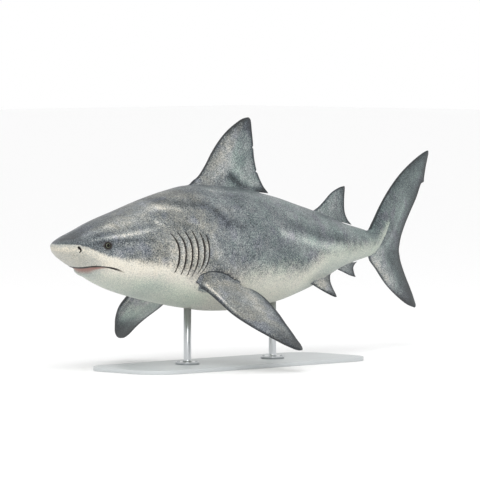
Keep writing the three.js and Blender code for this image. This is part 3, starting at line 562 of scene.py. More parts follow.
def stroke(s, z, mark):
    """How much a streak or cloud darkens s and z. The narrow ones taper at both ends."""
    darker, width, line = mark
    far, passed = 1.0, 0.0
    for i, ((s0, z0), (s1, z1)) in enumerate(zip(line, line[1:])):
        ds, dz = s1 - s0, z1 - z0
        share = min(1.0, max(0.0, ((s - s0) * ds + (z - z0) * dz) / (ds * ds + dz * dz)))
        away = math.hypot(s - s0 - share * ds, z - z0 - share * dz)
        if away < far:
            far, passed = away, (i + share) / (len(line) - 1)
    taper = min(1.0, 6 * passed * (1 - passed)) if width < NARROW_STROKE else 1.0
    return darker * taper * hump(far * LENGTH, 0, width)


def body_paint(s, z):
    """What is painted at s and z: shade is how dark the grey is and pale how dark the cream is, over is
    how far it is over the cream in units of the edge's softness, slit and lip are shares, hue runs from
    0, greenish, to 1, brownish, and rim is how far it is inside the edge of the fin's shoulder (mm)."""
    shade = side_shade(s)
    for mark in (*STREAKS, TAIL_RIDGE_HIGHLIGHT):
        if mark[2][0][0] - STROKE_MARGIN < s < mark[2][-1][0] + STROKE_MARGIN:
            shade += stroke(s, z, mark)
    # The crown of the back is darker, most of all on the snout: painted shade along the top of the body.
    crown = smoothstep(0.87, 1.0, z / top_line(s)) if s < 0.7 else 0.0
    shade += (0.07 + 0.26 * smoothfall(0.05, 0.18, s)) * crown
    under = shade_line(s) - z
    # The cream is greyer low on the belly, on the snout, under the tail, under the snout and on
    # the throat: painted shade on the underside. It is also greyer high on the flank by the belly's
    # middle, and along the snout's rim.
    pale = 0.05 + 0.2 * smoothstep(0.012, 0.04, under) * smoothstep(0.03, 0.07, s)
    pale += 0.17 * smoothfall(0.03, 0.085, s) + 0.2 * smoothstep(0.5, 0.6, s)
    pale += 0.2 * smoothstep(0.004, 0.018, under) * smoothfall(0.06, 0.09, s)
    pale += 0.12 * hump(s, 0.165, 0.03) * smoothstep(0.008, 0.02, under)
    pale += hump(s, 0.42, 0.1) * (0.14 - 0.22 * smoothstep(0.012, 0.035, under))
    pale += 0.25 * hump(under, 0.0012, 0.003) * smoothfall(0.03, 0.045, s)
    over = max(-OVER_REACH, min(OVER_REACH, -under / shade_softness(s)))
    rim = -RIM_REACH
    if SHOULDER_NEAR[0] < s < SHOULDER_NEAR[1]:
        below, above = shoulder_top(s) - z, z - shoulder_bottom(s)
        inside = min(below, above, s - SHOULDER_FROM, SHOULDER_TO - s) * LENGTH * MILLIMETRES
        if inside > SHOULDER_FADE:
            over = max(over, min(OVER_REACH, inside / SHOULDER_SOFTNESS))
            shade += (SHOULDER_SHADE - shade) * SHOULDER_SHARE * smoothstep(-2, 5, inside)
        rim = max(-RIM_REACH, min(RIM_REACH, inside))
    # The cream of the throat and the front of the belly is greenish.
    low = smoothstep(0.012, 0.035, under) * smoothfall(0.25, 0.32, s) * smoothstep(0.045, 0.07, s)
    hue_low = hue_below(s) - 0.3 * low
    hue = hue_low + (hue_above(s) - hue_low) * smoothstep(-1, 1, over)
    return {"shade": shade, "pale": pale, "over": over, "slit": 0.0, "lip": 0.0, "hue": hue, "rim": rim}


# ---------------------------------------------------------------- skin
# One hide from snout to tail, rough as sandpaper. It starts as a flat sheet of stations by turns, is
# cut finer at the mouth, eyes, nostrils and gills, and is then wrapped round the body form and joined
# along the back.
AROUND = 132
# The angle of the snout's rounding over which its rings are spaced, and the step from ring to ring.
SNOUT_ARC = 1.26
SNOUT_ARC_STEP = 0.09
# The mouth and the eyes lie ahead of FEATURES_TO, the nostrils ahead of NOSTRILS_TO.
FEATURES_TO = 0.14
NOSTRILS_TO = 0.045
# Stretches of the body, and how far apart the rings of the sheet are in each.
RING_STRETCHES = (
    (0.0208, 0.15, 0.0021), (0.15, 0.19, 0.0035), (0.192, 0.195, 0.0015), (0.2635, 0.64, 0.0044),
    (0.64, BODY_END, 0.003),
)
BETWEEN_SLITS = (0.2045, 0.2175, 0.2303, 0.2425)
SLIT_CUTS = (-0.0028, -0.0016, -0.0008, -0.0003, 0, 0.00013, 0.00028, 0.0009, 0.0014, 0.0021, 0.0031)
brow_line = profile(
    (0.012, 0.0055), (0.0336, 0.0094), (0.0476, 0.0131), (0.0598, 0.0155), (0.0769, 0.0173),
    (0.095, 0.0193), (0.1143, 0.0228), (0.1337, 0.0264), (0.17, 0.031),
)


def spread(low, high, step):
    """Even steps from low up to, but not including, high."""
    count = round((high - low) / step)
    return [low + (high - low) * i / count for i in range(count)]


def skin_stations():
    """The stations of the sheet's rings: close together on the snout and at the gill slits."""
    stations = [SNOUT_ROUNDING * (1 - math.cos(a)) for a in spread(0, SNOUT_ARC, SNOUT_ARC_STEP)]
    for stretch in RING_STRETCHES:
        stations += spread(*stretch)
    for gill in (*GILL_STATIONS, GILL_CREASE):
        stations += [gill + cut for cut in SLIT_CUTS]
    return sorted({*stations, *BETWEEN_SLITS, BODY_END})


def skin_point(s, turn):
    """The point of the body form at a ring of the sheet. Near the gills the rings bow as the slits do."""
    _, z = section_point(s, turn)
    bowed = s - gill_bow(s, z)
    q, z = section_point(bowed, turn)
    return place(bowed, q, z), z


def ridge_relief(s, z):
    """Brow ridge and jaw muscle on the head, and the ridge along the tail stock (m)."""
    over_brow = (z - brow_line(s)) * LENGTH
    on_head = smoothstep(0.02, 0.045, s) * smoothfall(0.11, 0.17, s)
    brow = 0.0034 * hump(over_brow, 0, 0.011) - 0.0022 * hump(over_brow, 0.026, 0.014)
    jaw = 0.004 * math.exp(-(((s - 0.128) / 0.014) ** 2) - ((z + 0.043) / 0.012) ** 2)
    on_tail = smoothstep(0.6, 0.7, s) * smoothfall(0.79, 0.83, s)
    keel = 0.0024 * hump((z - widest_line(s)) * LENGTH, 0.004, 0.012)
    pit = 0.004 * hump(s, 0.7565, 0.0035) * smoothstep(0.3, 1, (z - widest_line(s)) / 0.022)
    return on_head * brow + jaw + on_tail * keel - pit


def wrapped(s, turn):
    """The finished point of the skin at a place of the flat sheet, and what is painted on it."""
    step = 1e-4
    point, z = skin_point(s, turn)
    side = 1 if math.cos(turn) >= 0 else -1
    bowed = s - gill_bow(s, z)
    paint = body_paint(bowed, z)
    if s < step:
        return point, paint
    backwards = skin_point(s + step, turn)[0] - skin_point(s - step, turn)[0]
    onwards = skin_point(s, turn + 1e-3)[0] - skin_point(s, turn - 1e-3)[0]
    normal = backwards.cross(onwards).normalized()
    out, lean, slit, rim = gill_relief(s, z)
    # Painted shade in the slits, and a painted highlight on each flap towards its rear edge.
    paint["slit"] = slit
    paint["shade"] -= 0.16 * rim
    out += ridge_relief(s, z)
    if s < FEATURES_TO:
        below, along = mouth_distance(point, normal)
        out += mouth_relief(below, along)
        # The mouth's dark line is painted shade.
        paint["slit"], paint["lip"] = mouth_paint(below, along)
        if s < NOSTRILS_TO:
            far, width, ahead = nostril_distance(point, side)
            out += nostril_relief(far, width, ahead)
            # Painted shade in and round the nostril's hole.
            paint["slit"] += smoothfall(0.8 * width, 2.1 * width, far)
        else:
            ahead, high = eye_place(point, side)
            out += eye_relief(ahead, high)
            # Painted shade round the rim of the eye.
            paint["slit"] += eye_rim(ahead, high)
    return point + normal * out + backwards.normalized() * lean, paint


def feature_distance(s, turn):
    """Distances of a place of the flat sheet from the mouth line, the rim of the eye and the nostril."""
    point = skin_point(s, turn)[0]
    side = 1 if math.cos(turn) >= 0 else -1
    rim = abs((point - eye_frames[side][0]).length - LID_OPENING)
    return mouth_tree.find(point)[2], rim, nostril_trees[side].find(point)[2]


skin_form = bmesh.new()
stations = skin_stations()
bmesh.ops.create_grid(skin_form, x_segments=len(stations) - 1, y_segments=AROUND, size=0.5)
for vertex in skin_form.verts:
    ring = round((vertex.co.x + 0.5) * (len(stations) - 1))
    vertex.co.x = stations[ring]
    vertex.co.y = math.pi / 2 - 2 * math.pi * (vertex.co.y + 0.5)

# How near the mouth line, the rim of the eye and the nostril (m) the sheet is cut finer, round by round.
FINER = ((0.016, 0.022, 0.015), (0.0075, 0.009, 0.009), (0.0034, 0.0028, 0.0045))
FINER_TO = 0.13
GILL_CUTS_FROM = 0.18
GILL_CUTS_TO = 0.264
for reaches in FINER:
    chosen = []
    for edge in skin_form.edges:
        middle = (edge.verts[0].co + edge.verts[1].co) / 2
        if middle.x < FINER_TO:
            distances = feature_distance(middle.x, middle.y)
            if any(far < reach for far, reach in zip(distances, reaches)):
                chosen.append(edge)
    bmesh.ops.subdivide_edges(skin_form, edges=chosen, cuts=1, use_grid_fill=True)

gill_edges = []
for edge in skin_form.edges:
    low, high = edge.verts[0].co, edge.verts[1].co
    if abs(low.x - high.x) < 1e-6 and GILL_CUTS_FROM < low.x < GILL_CUTS_TO:
        if abs(gill_reach(low.x, section_point(low.x, (low.y + high.y) / 2)[1])) < 1.1:
            gill_edges.append(edge)
bmesh.ops.subdivide_edges(skin_form, edges=gill_edges, cuts=1, use_grid_fill=True)

skin_painted = []
for vertex in skin_form.verts:
    vertex.co, paint = wrapped(vertex.co.x, vertex.co.y)
    skin_painted.append((vertex.co.copy(), paint))
bmesh.ops.remove_doubles(skin_form, verts=skin_form.verts, dist=2e-5)
bmesh.ops.holes_fill(skin_form, edges=[edge for edge in skin_form.edges if edge.is_boundary], sides=0)
bmesh.ops.recalc_face_normals(skin_form, faces=skin_form.faces)


def new_object(name, form, smooth=True):
    """A mesh object at the origin, from a bmesh in the frame of the solids."""
    for face in form.faces:
        face.smooth = smooth
    mesh = bpy.data.meshes.new(name)
    form.to_mesh(mesh)
    form.free()
    made = bpy.data.objects.new(name, mesh)
    bpy.context.scene.collection.objects.link(made)
    return made


shark_skin = new_object("shark_skin", skin_form)

# ---------------------------------------------------------------- fins
# Stiff blades of cartilage and horny fibres under the same skin: thick and rounded in front, thinning
# to a soft rear edge, with a free lobe at the rear of the root. Each is a flat sheet folded round its
# leading edge, sunk with its root in the body.

# Shares of a fin's width: up to DEEP its root is sunk in the body, and from FREE on it is a free lobe.
DEEP = 0.7
FREE = 0.78
FILLET_REACH = 0.04
EDGE_HALF = 0.0009
MARGIN_STEPS = 16
# What a fin has unless its own values say otherwise.
PLAIN_FIN = {
    "nicks": (), "streaks": (), "tip_from": 0.62, "shoulder": -RIM_REACH, "paired": False,
    "glint": 0.1, "front_band": 0.1, "rear_band": 0.5,
}


def margin(*points):
    """A smooth curve through (a, b) points; u from 0 to 1 is the share of its length."""
    knots = [Vector((a, b)) for a, b in points]
    knots = [2 * knots[0] - knots[1], *knots, 2 * knots[-1] - knots[-2]]
    line = []
    for p0, p1, p2, p3 in zip(knots, knots[1:], knots[2:], knots[3:]):
        before, here, after = (math.sqrt((b - a).length) for a, b in ((p0, p1), (p1, p2), (p2, p3)))
        start = ((p1 - p0) / before - (p2 - p0) / (before + here) + (p2 - p1) / here) * here
        end = ((p2 - p1) / here - (p3 - p1) / (here + after) + (p3 - p2) / after) * here
        for k in range(MARGIN_STEPS):
            t = k / MARGIN_STEPS
            cubic = 2 * p1 - 2 * p2 + start + end
            square = 3 * p2 - 3 * p1 - 2 * start - end
            line.append(p1 + t * (start + t * (square + t * cubic)))
    line.append(knots[-2])
    lengths = [0.0]
    for a, b in zip(line, line[1:]):
        lengths.append(lengths[-1] + (b - a).length)

    def at(u):
        far = min(1.0, max(0.0, u)) * lengths[-1]
        i = min(len(line) - 2, max(0, bisect_right(lengths, far) - 1))
        step = lengths[i + 1] - lengths[i]
        return line[i].lerp(line[i + 1], (far - lengths[i]) / step if step else 0.0)

    return at


def root_line(*points):
    """A line given by (share, a, b) points; share from 0 to 1 is the place across the fin."""
    along_a = profile(*[(share, a) for share, a, _ in points])
    along_b = profile(*[(share, b) for share, _, b in points])
    return lambda share: Vector((along_a(share), along_b(share)))


def blade_swell(c):
    """Half thickness from the front edge (c = 0) to the rear edge, 1 at the thickest: the curve of a
    common aerofoil."""
    half = 0.2969 * math.sqrt(c) - 0.126 * c - 0.3516 * c**2 + 0.2843 * c**3 - 0.1036 * c**4
    return half / 0.1


fin_painted = []


def fin_place(fin, c, t):
    """The point a, b of the fin's own plane at share c of its width and t of its span."""
    lift = (fin["root"](c) - fin["leading"](0).lerp(fin["trailing"](0), c)) * (1 - t) ** 2
    at = fin["leading"](t).lerp(fin["trailing"](t), c) + lift
    for notch, depth in fin["nicks"]:
        at += (fin["leading"](t) - at).normalized() * depth * c**12 * hump(t, notch, 0.012)
    return at


def fin_half(fin, c, t, at):
    """Half the blade's thickness at c, t, with the swelling where it leaves the body."""
    near = min(1.0, max(0.0, 1 - fin["over_skin"](at.x, at.y) / FILLET_REACH)) ** 2
    fillet = fin["swell"] * near * math.sqrt(max(0.0, 4 * c * (1 - c))) * smoothfall(0.4, DEEP, c)
    rear = math.sqrt(max(0.0, 1 - max(0.0, (c - 0.985) / 0.015) ** 2))
    tip = math.sqrt(max(0.0, 1 - max(0.0, (t - 0.97) / 0.03) ** 2))
    front = min(1.0, c / 0.004)
    return tip * rear * (max(EDGE_HALF * front, fin["thick"](t) * blade_swell(c)) + fillet)


# The widths of what is painted along a fin's edges (m), with the painted highlight inside the front
# edge, and how grey its cream is.
REAR_BAND = 0.011
REAR_SMUDGE = 0.03
FRONT_LINE = 0.005
FRONT_BAND = 0.02
GLINT_INSIDE = 0.0105
GLINT_WIDTH = 0.0045
FIN_CREAM = 0.2


def fin_paint(fin, c, t, at, underneath):
    """What is painted on a fin: dusky at the rims and the tip, with a painted highlight, a pale
    glint, inside the dark front edge. The paired fins are pale grey underneath, which is painted
    shade of the underside, and cream where they leave the belly."""
    ahead = (at - fin["leading"](t)).length * LENGTH
    behind = (fin["trailing"](t) - at).length * LENGTH
    shade, over, hue, rim = fin["tone"](c), OVER_REACH, fin["hue"](c), fin["shoulder"]
    for mark in fin["streaks"]:
        shade += stroke(at.x, at.y, mark)
    tip_share = smoothstep(fin["tip_from"], 0.98, t)
    # Underneath a paired fin: painted shade, light grey away from the belly and greyer by the front edge.
    if underneath:
        near_front = smoothfall(0.06, 0.2, c) * smoothstep(0.03, 0.14, t)
        shade, hue, rim = 0.3 + 0.3 * near_front, 0.15 + 0.4 * near_front, -RIM_REACH
        over = 2 * OVER_REACH * max(smoothstep(0.06, 0.26, t), near_front) - OVER_REACH
        tip_share = smoothstep(0.5, 0.88, t)
    shade += (fin["tip"] - shade) * tip_share
    shade += fin["rear_band"] * hump(behind, 0, REAR_BAND) + 0.2 * hump(behind, 0, REAR_SMUDGE)
    shade += 0.5 * hump(ahead, 0, FRONT_LINE) + fin["front_band"] * hump(ahead, 0, FRONT_BAND)
    # Painted highlight: a pale glint just inside the dark front edge.
    shade -= fin["glint"] * hump(ahead, GLINT_INSIDE, GLINT_WIDTH) * smoothfall(0.3, 0.6, t)
    return {
        "shade": shade, "pale": FIN_CREAM, "over": over, "slit": 0.0, "lip": 0.0, "hue": hue,
        "rim": rim,
    }


TIP_CROWDING = 1.25


def fin_form(fin, across, spans):
    """A sheet folded round the leading edge. Its first row is pinched flat, which closes the root, and
    the rows lie closer together towards the tip."""
    form = bmesh.new()
    rows = spans + 1
    bmesh.ops.create_grid(form, x_segments=2 * across, y_segments=rows, size=0.5)
    for vertex in form.verts:
        fold = round((vertex.co.x + 0.5) * 2 * across) / across - 1
        row = round((vertex.co.y + 0.5) * rows)
        c = (1 - math.cos(math.pi * abs(fold))) / 2
        t = 1 - min(1.0, (rows - row) / spans) ** TIP_CROWDING
        at = fin_place(fin, c, t)
        half = fin_half(fin, c, t, at) if row else 0.0
        wave = fin["wave"] * c * c * t * math.sin(9 * t + 2 * c)
        vertex.co = fin["spread"](at.x, at.y, math.copysign(half, fold) + wave)
        underneath = fin["paired"] and fold < 0
        fin_painted.append((vertex.co.copy(), fin_paint(fin, c, t, at, underneath)))
    bmesh.ops.remove_doubles(form, verts=form.verts, dist=5e-6)
    bmesh.ops.recalc_face_normals(form, faces=form.faces)
    return form


def upright(s, z, out):
    """The plane of a fin on the midline."""
    return place(s, 0, z, out)


def sloping(side, plane, sweep=0.0):
    """A paired fin's plane, which slopes down and outwards through q, z; sweep leans it back."""
    fall = math.atan(plane["slope"])

    def spread_at(s, q, out):
        z = plane["z"] - plane["slope"] * (q - plane["q"]) + out * math.cos(fall) / LENGTH
        q_out = q + out * math.sin(fall) / LENGTH
        return place(s + sweep * max(0.0, q - plane["q"]), side * q_out, z)

    return spread_at


def along_slope(plane):
    """How far a place of a paired fin is from the skin, along the fin (m)."""
    return lambda s, q: (q - plane["skin_q"]) * LENGTH / math.cos(math.atan(plane["slope"]))


def over_back(s, z):
    """How far a place of a fin is above the back (m)."""
    return (z - top_line(s)) * LENGTH


# First dorsal fin: tall, broad and upright, with a rounded tip and two small nicks in its rear edge.
first_dorsal = {
    "leading": margin(
        (0.292, 0.076), (0.3045, 0.0965), (0.3244, 0.1085), (0.3407, 0.1264), (0.3554, 0.1469),
        (0.372, 0.1658), (0.3908, 0.182), (0.412, 0.195), (0.4288, 0.2027), (0.44, 0.2048),
    ),
    "trailing": margin(
        (0.4904, 0.0768), (0.4765, 0.091), (0.463, 0.1151), (0.4555, 0.14), (0.4525, 0.165),
        (0.451, 0.1796), (0.449, 0.2), (0.4455, 0.2044),
    ),
    "root": root_line(
        (0, 0.292, 0.076), (0.3, 0.35, 0.062), (0.6, 0.41, 0.06), (0.76, 0.442, 0.0655),
        (0.84, 0.46, 0.0755), (0.88, 0.4665, 0.0787), (0.94, 0.477, 0.0778), (1, 0.4904, 0.0764),
    ),
    "thick": profile((0, 0.022), (0.35, 0.015), (0.8, 0.008), (1, 0.004)),
    "nicks": ((0.33, 0.0035), (0.63, 0.0025)),
    "spread": upright, "over_skin": over_back, "swell": 0.008, "wave": 0.003,
    "tone": profile((0, 0.5), (0.25, 0.47), (0.5, 0.58), (0.8, 0.54), (1, 0.54)), "tip": 1.05,
    "hue": profile((0, 0.7), (0.3, 0.62), (0.5, 0.25), (1, 0.35)), "glint": 0.2, "front_band": 0.35,
    "streaks": (
        (-0.16, 0.024, ((0.4, 0.127), (0.411, 0.113))),
        (0.25, 0.02, ((0.455, 0.083), (0.4877, 0.0763))),
        (-0.05, 0.036, ((0.3735, 0.1148), (0.3829, 0.1346), (0.4017, 0.1542))),
        (0.12, 0.032, ((0.4229, 0.1204), (0.4285, 0.1446), (0.4229, 0.1671))),
        (0.16, 0.03, ((0.3362, 0.0924), (0.3541, 0.098), (0.3805, 0.1013))),
        # Painted shadow: a dark band from the middle of the fin down to the rear of its root.
        (0.52, 0.018, (
            (0.3946, 0.1077), (0.4026, 0.1038), (0.4181, 0.0921), (0.4351, 0.0845), (0.4877, 0.0763),
        )),
        (-0.18, 0.022, ((0.4229, 0.1037), (0.4347, 0.0984), (0.4489, 0.088))),
    ),
}

# Second dorsal fin: a small copy of the first, over the anal fin.
second_dorsal = {
    "leading": margin(
        (0.59, 0.03), (0.5985, 0.0445), (0.611, 0.0492), (0.6252, 0.0583), (0.6467, 0.0734),
        (0.6689, 0.0817), (0.679, 0.0834), (0.683, 0.0838),
    ),
    "trailing": margin(
        (0.7056, 0.0166), (0.6926, 0.027), (0.6845, 0.041), (0.6825, 0.0607), (0.6845, 0.074),
        (0.6855, 0.08), (0.685, 0.083),
    ),
    "root": root_line(
        (0, 0.59, 0.03), (0.3, 0.62, 0.018), (0.66, 0.655, 0.01), (0.74, 0.6665, 0.0215),
        (FREE, 0.6715, 0.0233), (0.88, 0.686, 0.0208), (1, 0.7056, 0.0166),
    ),
    "thick": profile((0, 0.012), (0.5, 0.008), (1, 0.003)),
    "spread": upright, "over_skin": over_back, "swell": 0.005, "wave": 0.0012,
    "tone": profile((0, 0.48), (0.5, 0.64), (1, 0.76)), "tip": 0.98, "hue": lambda c: 0.25,
    "glint": 0.15, "front_band": 0.15,
}

# Anal fin: under the second dorsal, with a deep notch in its rear edge.
anal = {
    "leading": margin(
        (0.646, -0.042), (0.655, -0.0545), (0.6792, -0.0628), (0.6997, -0.0696), (0.7165, -0.0732),
    ),
    "trailing": margin(
        (0.723, -0.047), (0.7155, -0.051), (0.7105, -0.0575), (0.7135, -0.067), (0.718, -0.0722),
    ),
    "root": root_line(
        (0, 0.646, -0.042), (0.3, 0.67, -0.035), (DEEP, 0.695, -0.034), (FREE, 0.7045, -0.0485),
        (1, 0.723, -0.047),
    ),
    "thick": profile((0, 0.01), (0.5, 0.007), (1, 0.003)),
    "spread": upright, "over_skin": lambda s, z: (belly_line(s) - z) * LENGTH,
    "swell": 0.004, "wave": 0.001,
    "tone": profile((0, 0.5), (0.5, 0.6), (1, 0.7)), "tip": 0.95, "hue": lambda c: 0.4,
}

# Tail fin: the long upper lobe carries the end of the backbone and has a notch under its tip. Both
# lobes meet on a line from the end of the tail stock to the fork.
FORK = (0.8744, -0.0313)
TAIL_ROOT = (0.766, -0.018)
LOBE_OVERLAP = 0.004


def lobe(way, leading, trailing, thick, wave, finish):
    """One lobe of the tail fin, up (way = 1) or down (-1). The two overlap a little along their line."""
    shift = -way * LOBE_OVERLAP
    start, end = (TAIL_ROOT[0], TAIL_ROOT[1] + shift), (FORK[0], FORK[1] + shift)
    return {
        "leading": margin(start, *leading),
        "trailing": margin(end, *trailing),
        "root": root_line((0, *start), (1, *end)),
        "thick": thick,
        "spread": upright, "over_skin": lambda s, z: LENGTH, "swell": 0, "wave": wave,
        **finish,
    }


upper_lobe = lobe(
    1,
    [(0.7585, 0.002), (0.7787, 0.0241), (0.7994, 0.0452), (0.8301, 0.07), (0.8704, 0.0949),
     (0.916, 0.1156), (0.962, 0.1315), (0.984, 0.1368), (0.989, 0.1372)],
    [(0.88, -0.0155), (0.8955, 0.0065), (0.9195, 0.0315), (0.942, 0.055), (0.9605, 0.0796),
     (0.966, 0.0812), (0.9715, 0.0826), (0.9725, 0.088), (0.98, 0.106), (0.9935, 0.1325), (0.993, 0.136)],
    profile((0, 0.016), (0.12, 0.016), (0.4, 0.012), (1, 0.0035)),
    0.003,
    {"tone": profile((0, 0.84), (0.25, 0.82), (0.5, 0.72), (0.75, 0.86), (1, 1.0)), "tip": 1.1,
     "hue": lambda c: 0.05, "glint": 0.25, "front_band": 0.2, "streaks": (TAIL_RIDGE_HIGHLIGHT,)},
)
lower_lobe = lobe(
    -1,
    [(0.7585, -0.039), (0.786, -0.0628), (0.82, -0.0888), (0.8605, -0.1108), (0.907, -0.13),
     (0.9365, -0.137)],
    [(0.8785, -0.0475), (0.8945, -0.0721), (0.9175, -0.1013), (0.9335, -0.1201), (0.9428, -0.1327),
     (0.942, -0.1362)],
    profile((0, 0.015), (0.15, 0.014), (0.5, 0.01), (1, 0.0035)),
    0.002,
    {"tone": profile((0, 0.2), (0.3, 0.46), (0.65, 1.0), (1, 1.15)), "tip": 1.35, "tip_from": 0.4,
     "hue": profile((0, 0.6), (0.4, 0.3), (0.7, 0), (1, 0)), "front_band": 0.2,
     "streaks": (TAIL_RIDGE_HIGHLIGHT,)},
)

# Pectoral fins: long, broad and curved back, held out and down from low on the sides behind the gills.
PECTORAL_PLANE = {"q": 0.08, "z": -0.07, "slope": 0.734, "skin_q": 0.076}


def pectoral(side, sweep):
    return {
        "leading": margin(
            (0.245, 0.035), (0.2485, 0.066), (0.259, 0.083), (0.265, 0.107), (0.27, 0.135),
            (0.2855, 0.1618), (0.3035, 0.1836), (0.3222, 0.2035), (0.3375, 0.2142), (0.3465, 0.2165),
        ),
        "trailing": margin(
            (0.3695, 0.097), (0.3732, 0.108), (0.3733, 0.138), (0.3655, 0.167), (0.3597, 0.194),
            (0.3585, 0.2055), (0.3555, 0.2125), (0.351, 0.2162),
        ),
        "root": root_line(
            (0, 0.245, 0.035), (0.3, 0.278, 0.038), (0.6, 0.314, 0.05), (0.72, 0.3305, 0.07),
            (FREE, 0.3385, 0.0835), (0.85, 0.3475, 0.0875), (0.93, 0.3595, 0.0905), (1, 0.3695, 0.097),
        ),
        "thick": profile((0, 0.026), (0.3, 0.019), (0.7, 0.01), (1, 0.004)),
        "spread": sloping(side, PECTORAL_PLANE, sweep), "over_skin": along_slope(PECTORAL_PLANE),
        "swell": 0.011, "wave": 0.003, "paired": True, "shoulder": RIM_REACH,
        "tone": profile((0, 0.52), (0.3, 0.54), (0.7, 0.56), (1, 0.72)), "tip": 1.2,
        "hue": profile((0, 0.85), (0.5, 0.8), (1, 0.5)), "glint": 0.5, "front_band": 0.05, "rear_band": 0.9,
        "streaks": (
            (-0.12, 0.03, ((0.3219, 0.1518), (0.3351, 0.1272), (0.3436, 0.0979))),
            (0.16, 0.06, ((0.3, 0.15), (0.33, 0.18))),
        ),
    }


# Pelvic fins: small and triangular, low on the belly. The shark has no claspers, so it is a female.
PELVIC_PLANE = {"q": 0.035, "z": -0.068, "slope": 1, "skin_q": 0.04}


def pelvic(side):
    return {
        "leading": margin(
            (0.543, 0.018), (0.5485, 0.042), (0.5575, 0.05), (0.569, 0.0585), (0.58, 0.0648),
            (0.585, 0.066),
        ),
        "trailing": margin(
            (0.6135, 0.0285), (0.606, 0.0335), (0.5965, 0.042), (0.5905, 0.0535), (0.5885, 0.062),
            (0.5868, 0.0658),
        ),
        "root": root_line(
            (0, 0.543, 0.018), (0.3, 0.565, 0.01), (DEEP, 0.592, 0.008), (FREE, 0.5985, 0.0265),
            (1, 0.6135, 0.0285),
        ),
        "thick": profile((0, 0.01), (0.5, 0.007), (1, 0.003)),
        "spread": sloping(side, PELVIC_PLANE), "over_skin": along_slope(PELVIC_PLANE),
        "swell": 0.003, "wave": 0.001, "paired": True,
        "tone": profile((0, 0.4), (0.5, 0.42), (1, 0.6)), "tip": 0.9, "hue": lambda c: 0.8,
    }


# The right front fin is swept back a little, as in a gentle turn. Each fin has the number of strips
# across it and along it.
FAR_SWEEP = 0.05
fins = {
    "first_dorsal": (first_dorsal, 30, 84),
    "second_dorsal": (second_dorsal, 20, 44),
    "anal": (anal, 18, 30),
    "upper_lobe": (upper_lobe, 26, 80),
    "lower_lobe": (lower_lobe, 24, 62),
    "left_pectoral": (pectoral(1, 0.0), 28, 66),
    "right_pectoral": (pectoral(-1, FAR_SWEEP), 28, 66),
    "left_pelvic": (pelvic(1), 18, 30),
    "right_pelvic": (pelvic(-1), 18, 30),
}
fin_group = bpy.data.collections.new("fins")
for name, (fin, across, spans) in fins.items():
    blade = new_object(name, fin_form({**PLAIN_FIN, **fin}, across, spans))
    bpy.context.scene.collection.objects.unlink(blade)
    fin_group.objects.link(blade)

# ---------------------------------------------------------------- joining the fins to the body
# The fins are fused with the hide and the joints are worked smooth, as a sculptor fills them.
FILLET = 0.024
FILLET_SHRINK = 0.6
FILLET_PASSES = 10
PAINT_PASSES = 3
SEAM_MERGE = 0.0012
# A face's material slot tells, once they are fused, what it came from.
FROM_BODY, FROM_FIN, FROM_LOWER_LOBE = range(3)
hide = bpy.data.materials.new("shark hide")
for carved in (shark_skin, *fin_group.objects):
    for _ in (FROM_BODY, FROM_FIN, FROM_LOWER_LOBE):
        carved.data.materials.append(hide)
for blade in fin_group.objects:
    for face in blade.data.polygons:
        face.material_index = FROM_LOWER_LOBE if blade.name == "lower_lobe" else FROM_FIN

fuse = shark_skin.modifiers.new("fuse", "BOOLEAN")
fuse.operation = "UNION"
fuse.solver = "EXACT"
fuse.operand_type = "COLLECTION"
fuse.collection = fin_group
bpy.context.view_layer.update()
fused = bpy.data.meshes.new_from_object(shark_skin.evaluated_get(bpy.context.evaluated_depsgraph_get()))
shark_skin.modifiers.clear()
shark_skin.data = fused
for blade in list(fin_group.objects):
    bpy.data.objects.remove(blade)
bpy.data.collections.remove(fin_group)


def seam_edges(form):
    """The edges where faces of different pieces meet."""
    return [e for e in form.edges if len({face.material_index for face in e.link_faces}) > 1]


def in_order(elements):
    """Each element once, in a fixed order, so that every run gives the same mesh."""
    return sorted(set(elements), key=lambda element: element.index)


joined = bmesh.new()
joined.from_mesh(shark_skin.data)
seam = seam_edges(joined)
bmesh.ops.remove_doubles(joined, verts=in_order(v for e in seam for v in e.verts), dist=SEAM_MERGE)
joined.faces.index_update()
seam = seam_edges(joined)
around_seam = in_order(face for e in seam for v in e.verts for face in v.link_faces)
bmesh.ops.triangulate(joined, faces=around_seam, quad_method="BEAUTY", ngon_method="BEAUTY")
joined.verts.index_update()
body_tree = tree_of([at for at, _ in skin_painted])
fin_tree = tree_of([at for at, _ in fin_painted])
PAINTS = ("shade", "pale", "over", "slit", "lip", "hue", "rim")
paints = []
for vertex in joined.verts:
    _, on_body, far_body = body_tree.find(vertex.co)
    _, on_fin, far_fin = fin_tree.find(vertex.co)
    chosen = skin_painted[on_body][1] if far_body <= far_fin else fin_painted[on_fin][1]
    paints.append([chosen[name] for name in PAINTS])
seam_tree = tree_of([(e.verts[0].co + e.verts[1].co) / 2 for e in seam])
for k in range(FILLET_PASSES):
    reach = FILLET * (1 - FILLET_SHRINK * k / FILLET_PASSES)
    near = [v for v in joined.verts if seam_tree.find(v.co)[2] < reach]
    bmesh.ops.smooth_vert(joined, verts=near, factor=0.5, use_axis_x=True, use_axis_y=True, use_axis_z=True)
for _ in range(PAINT_PASSES):
    blended = {}
    for vertex in near:
        around = [paints[edge.other_vert(vertex).index] for edge in vertex.link_edges]
        blended[vertex.index] = [sum(column) / len(around) for column in zip(*around)]
    for index, mixed in blended.items():
        paints[index] = [(old + new) / 2 for old, new in zip(paints[index], mixed)]
for face in joined.faces:
    face.material_index = 0
    face.smooth = True
joined.to_mesh(shark_skin.data)
joined.free()
for name, values in zip(PAINTS, zip(*paints)):
    shark_skin.data.attributes.new(name, "FLOAT", "POINT").data.foreach_set("value", values)
while len(shark_skin.data.materials) > 1:
    shark_skin.data.materials.pop(index=1)
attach(shark_skin, "root")
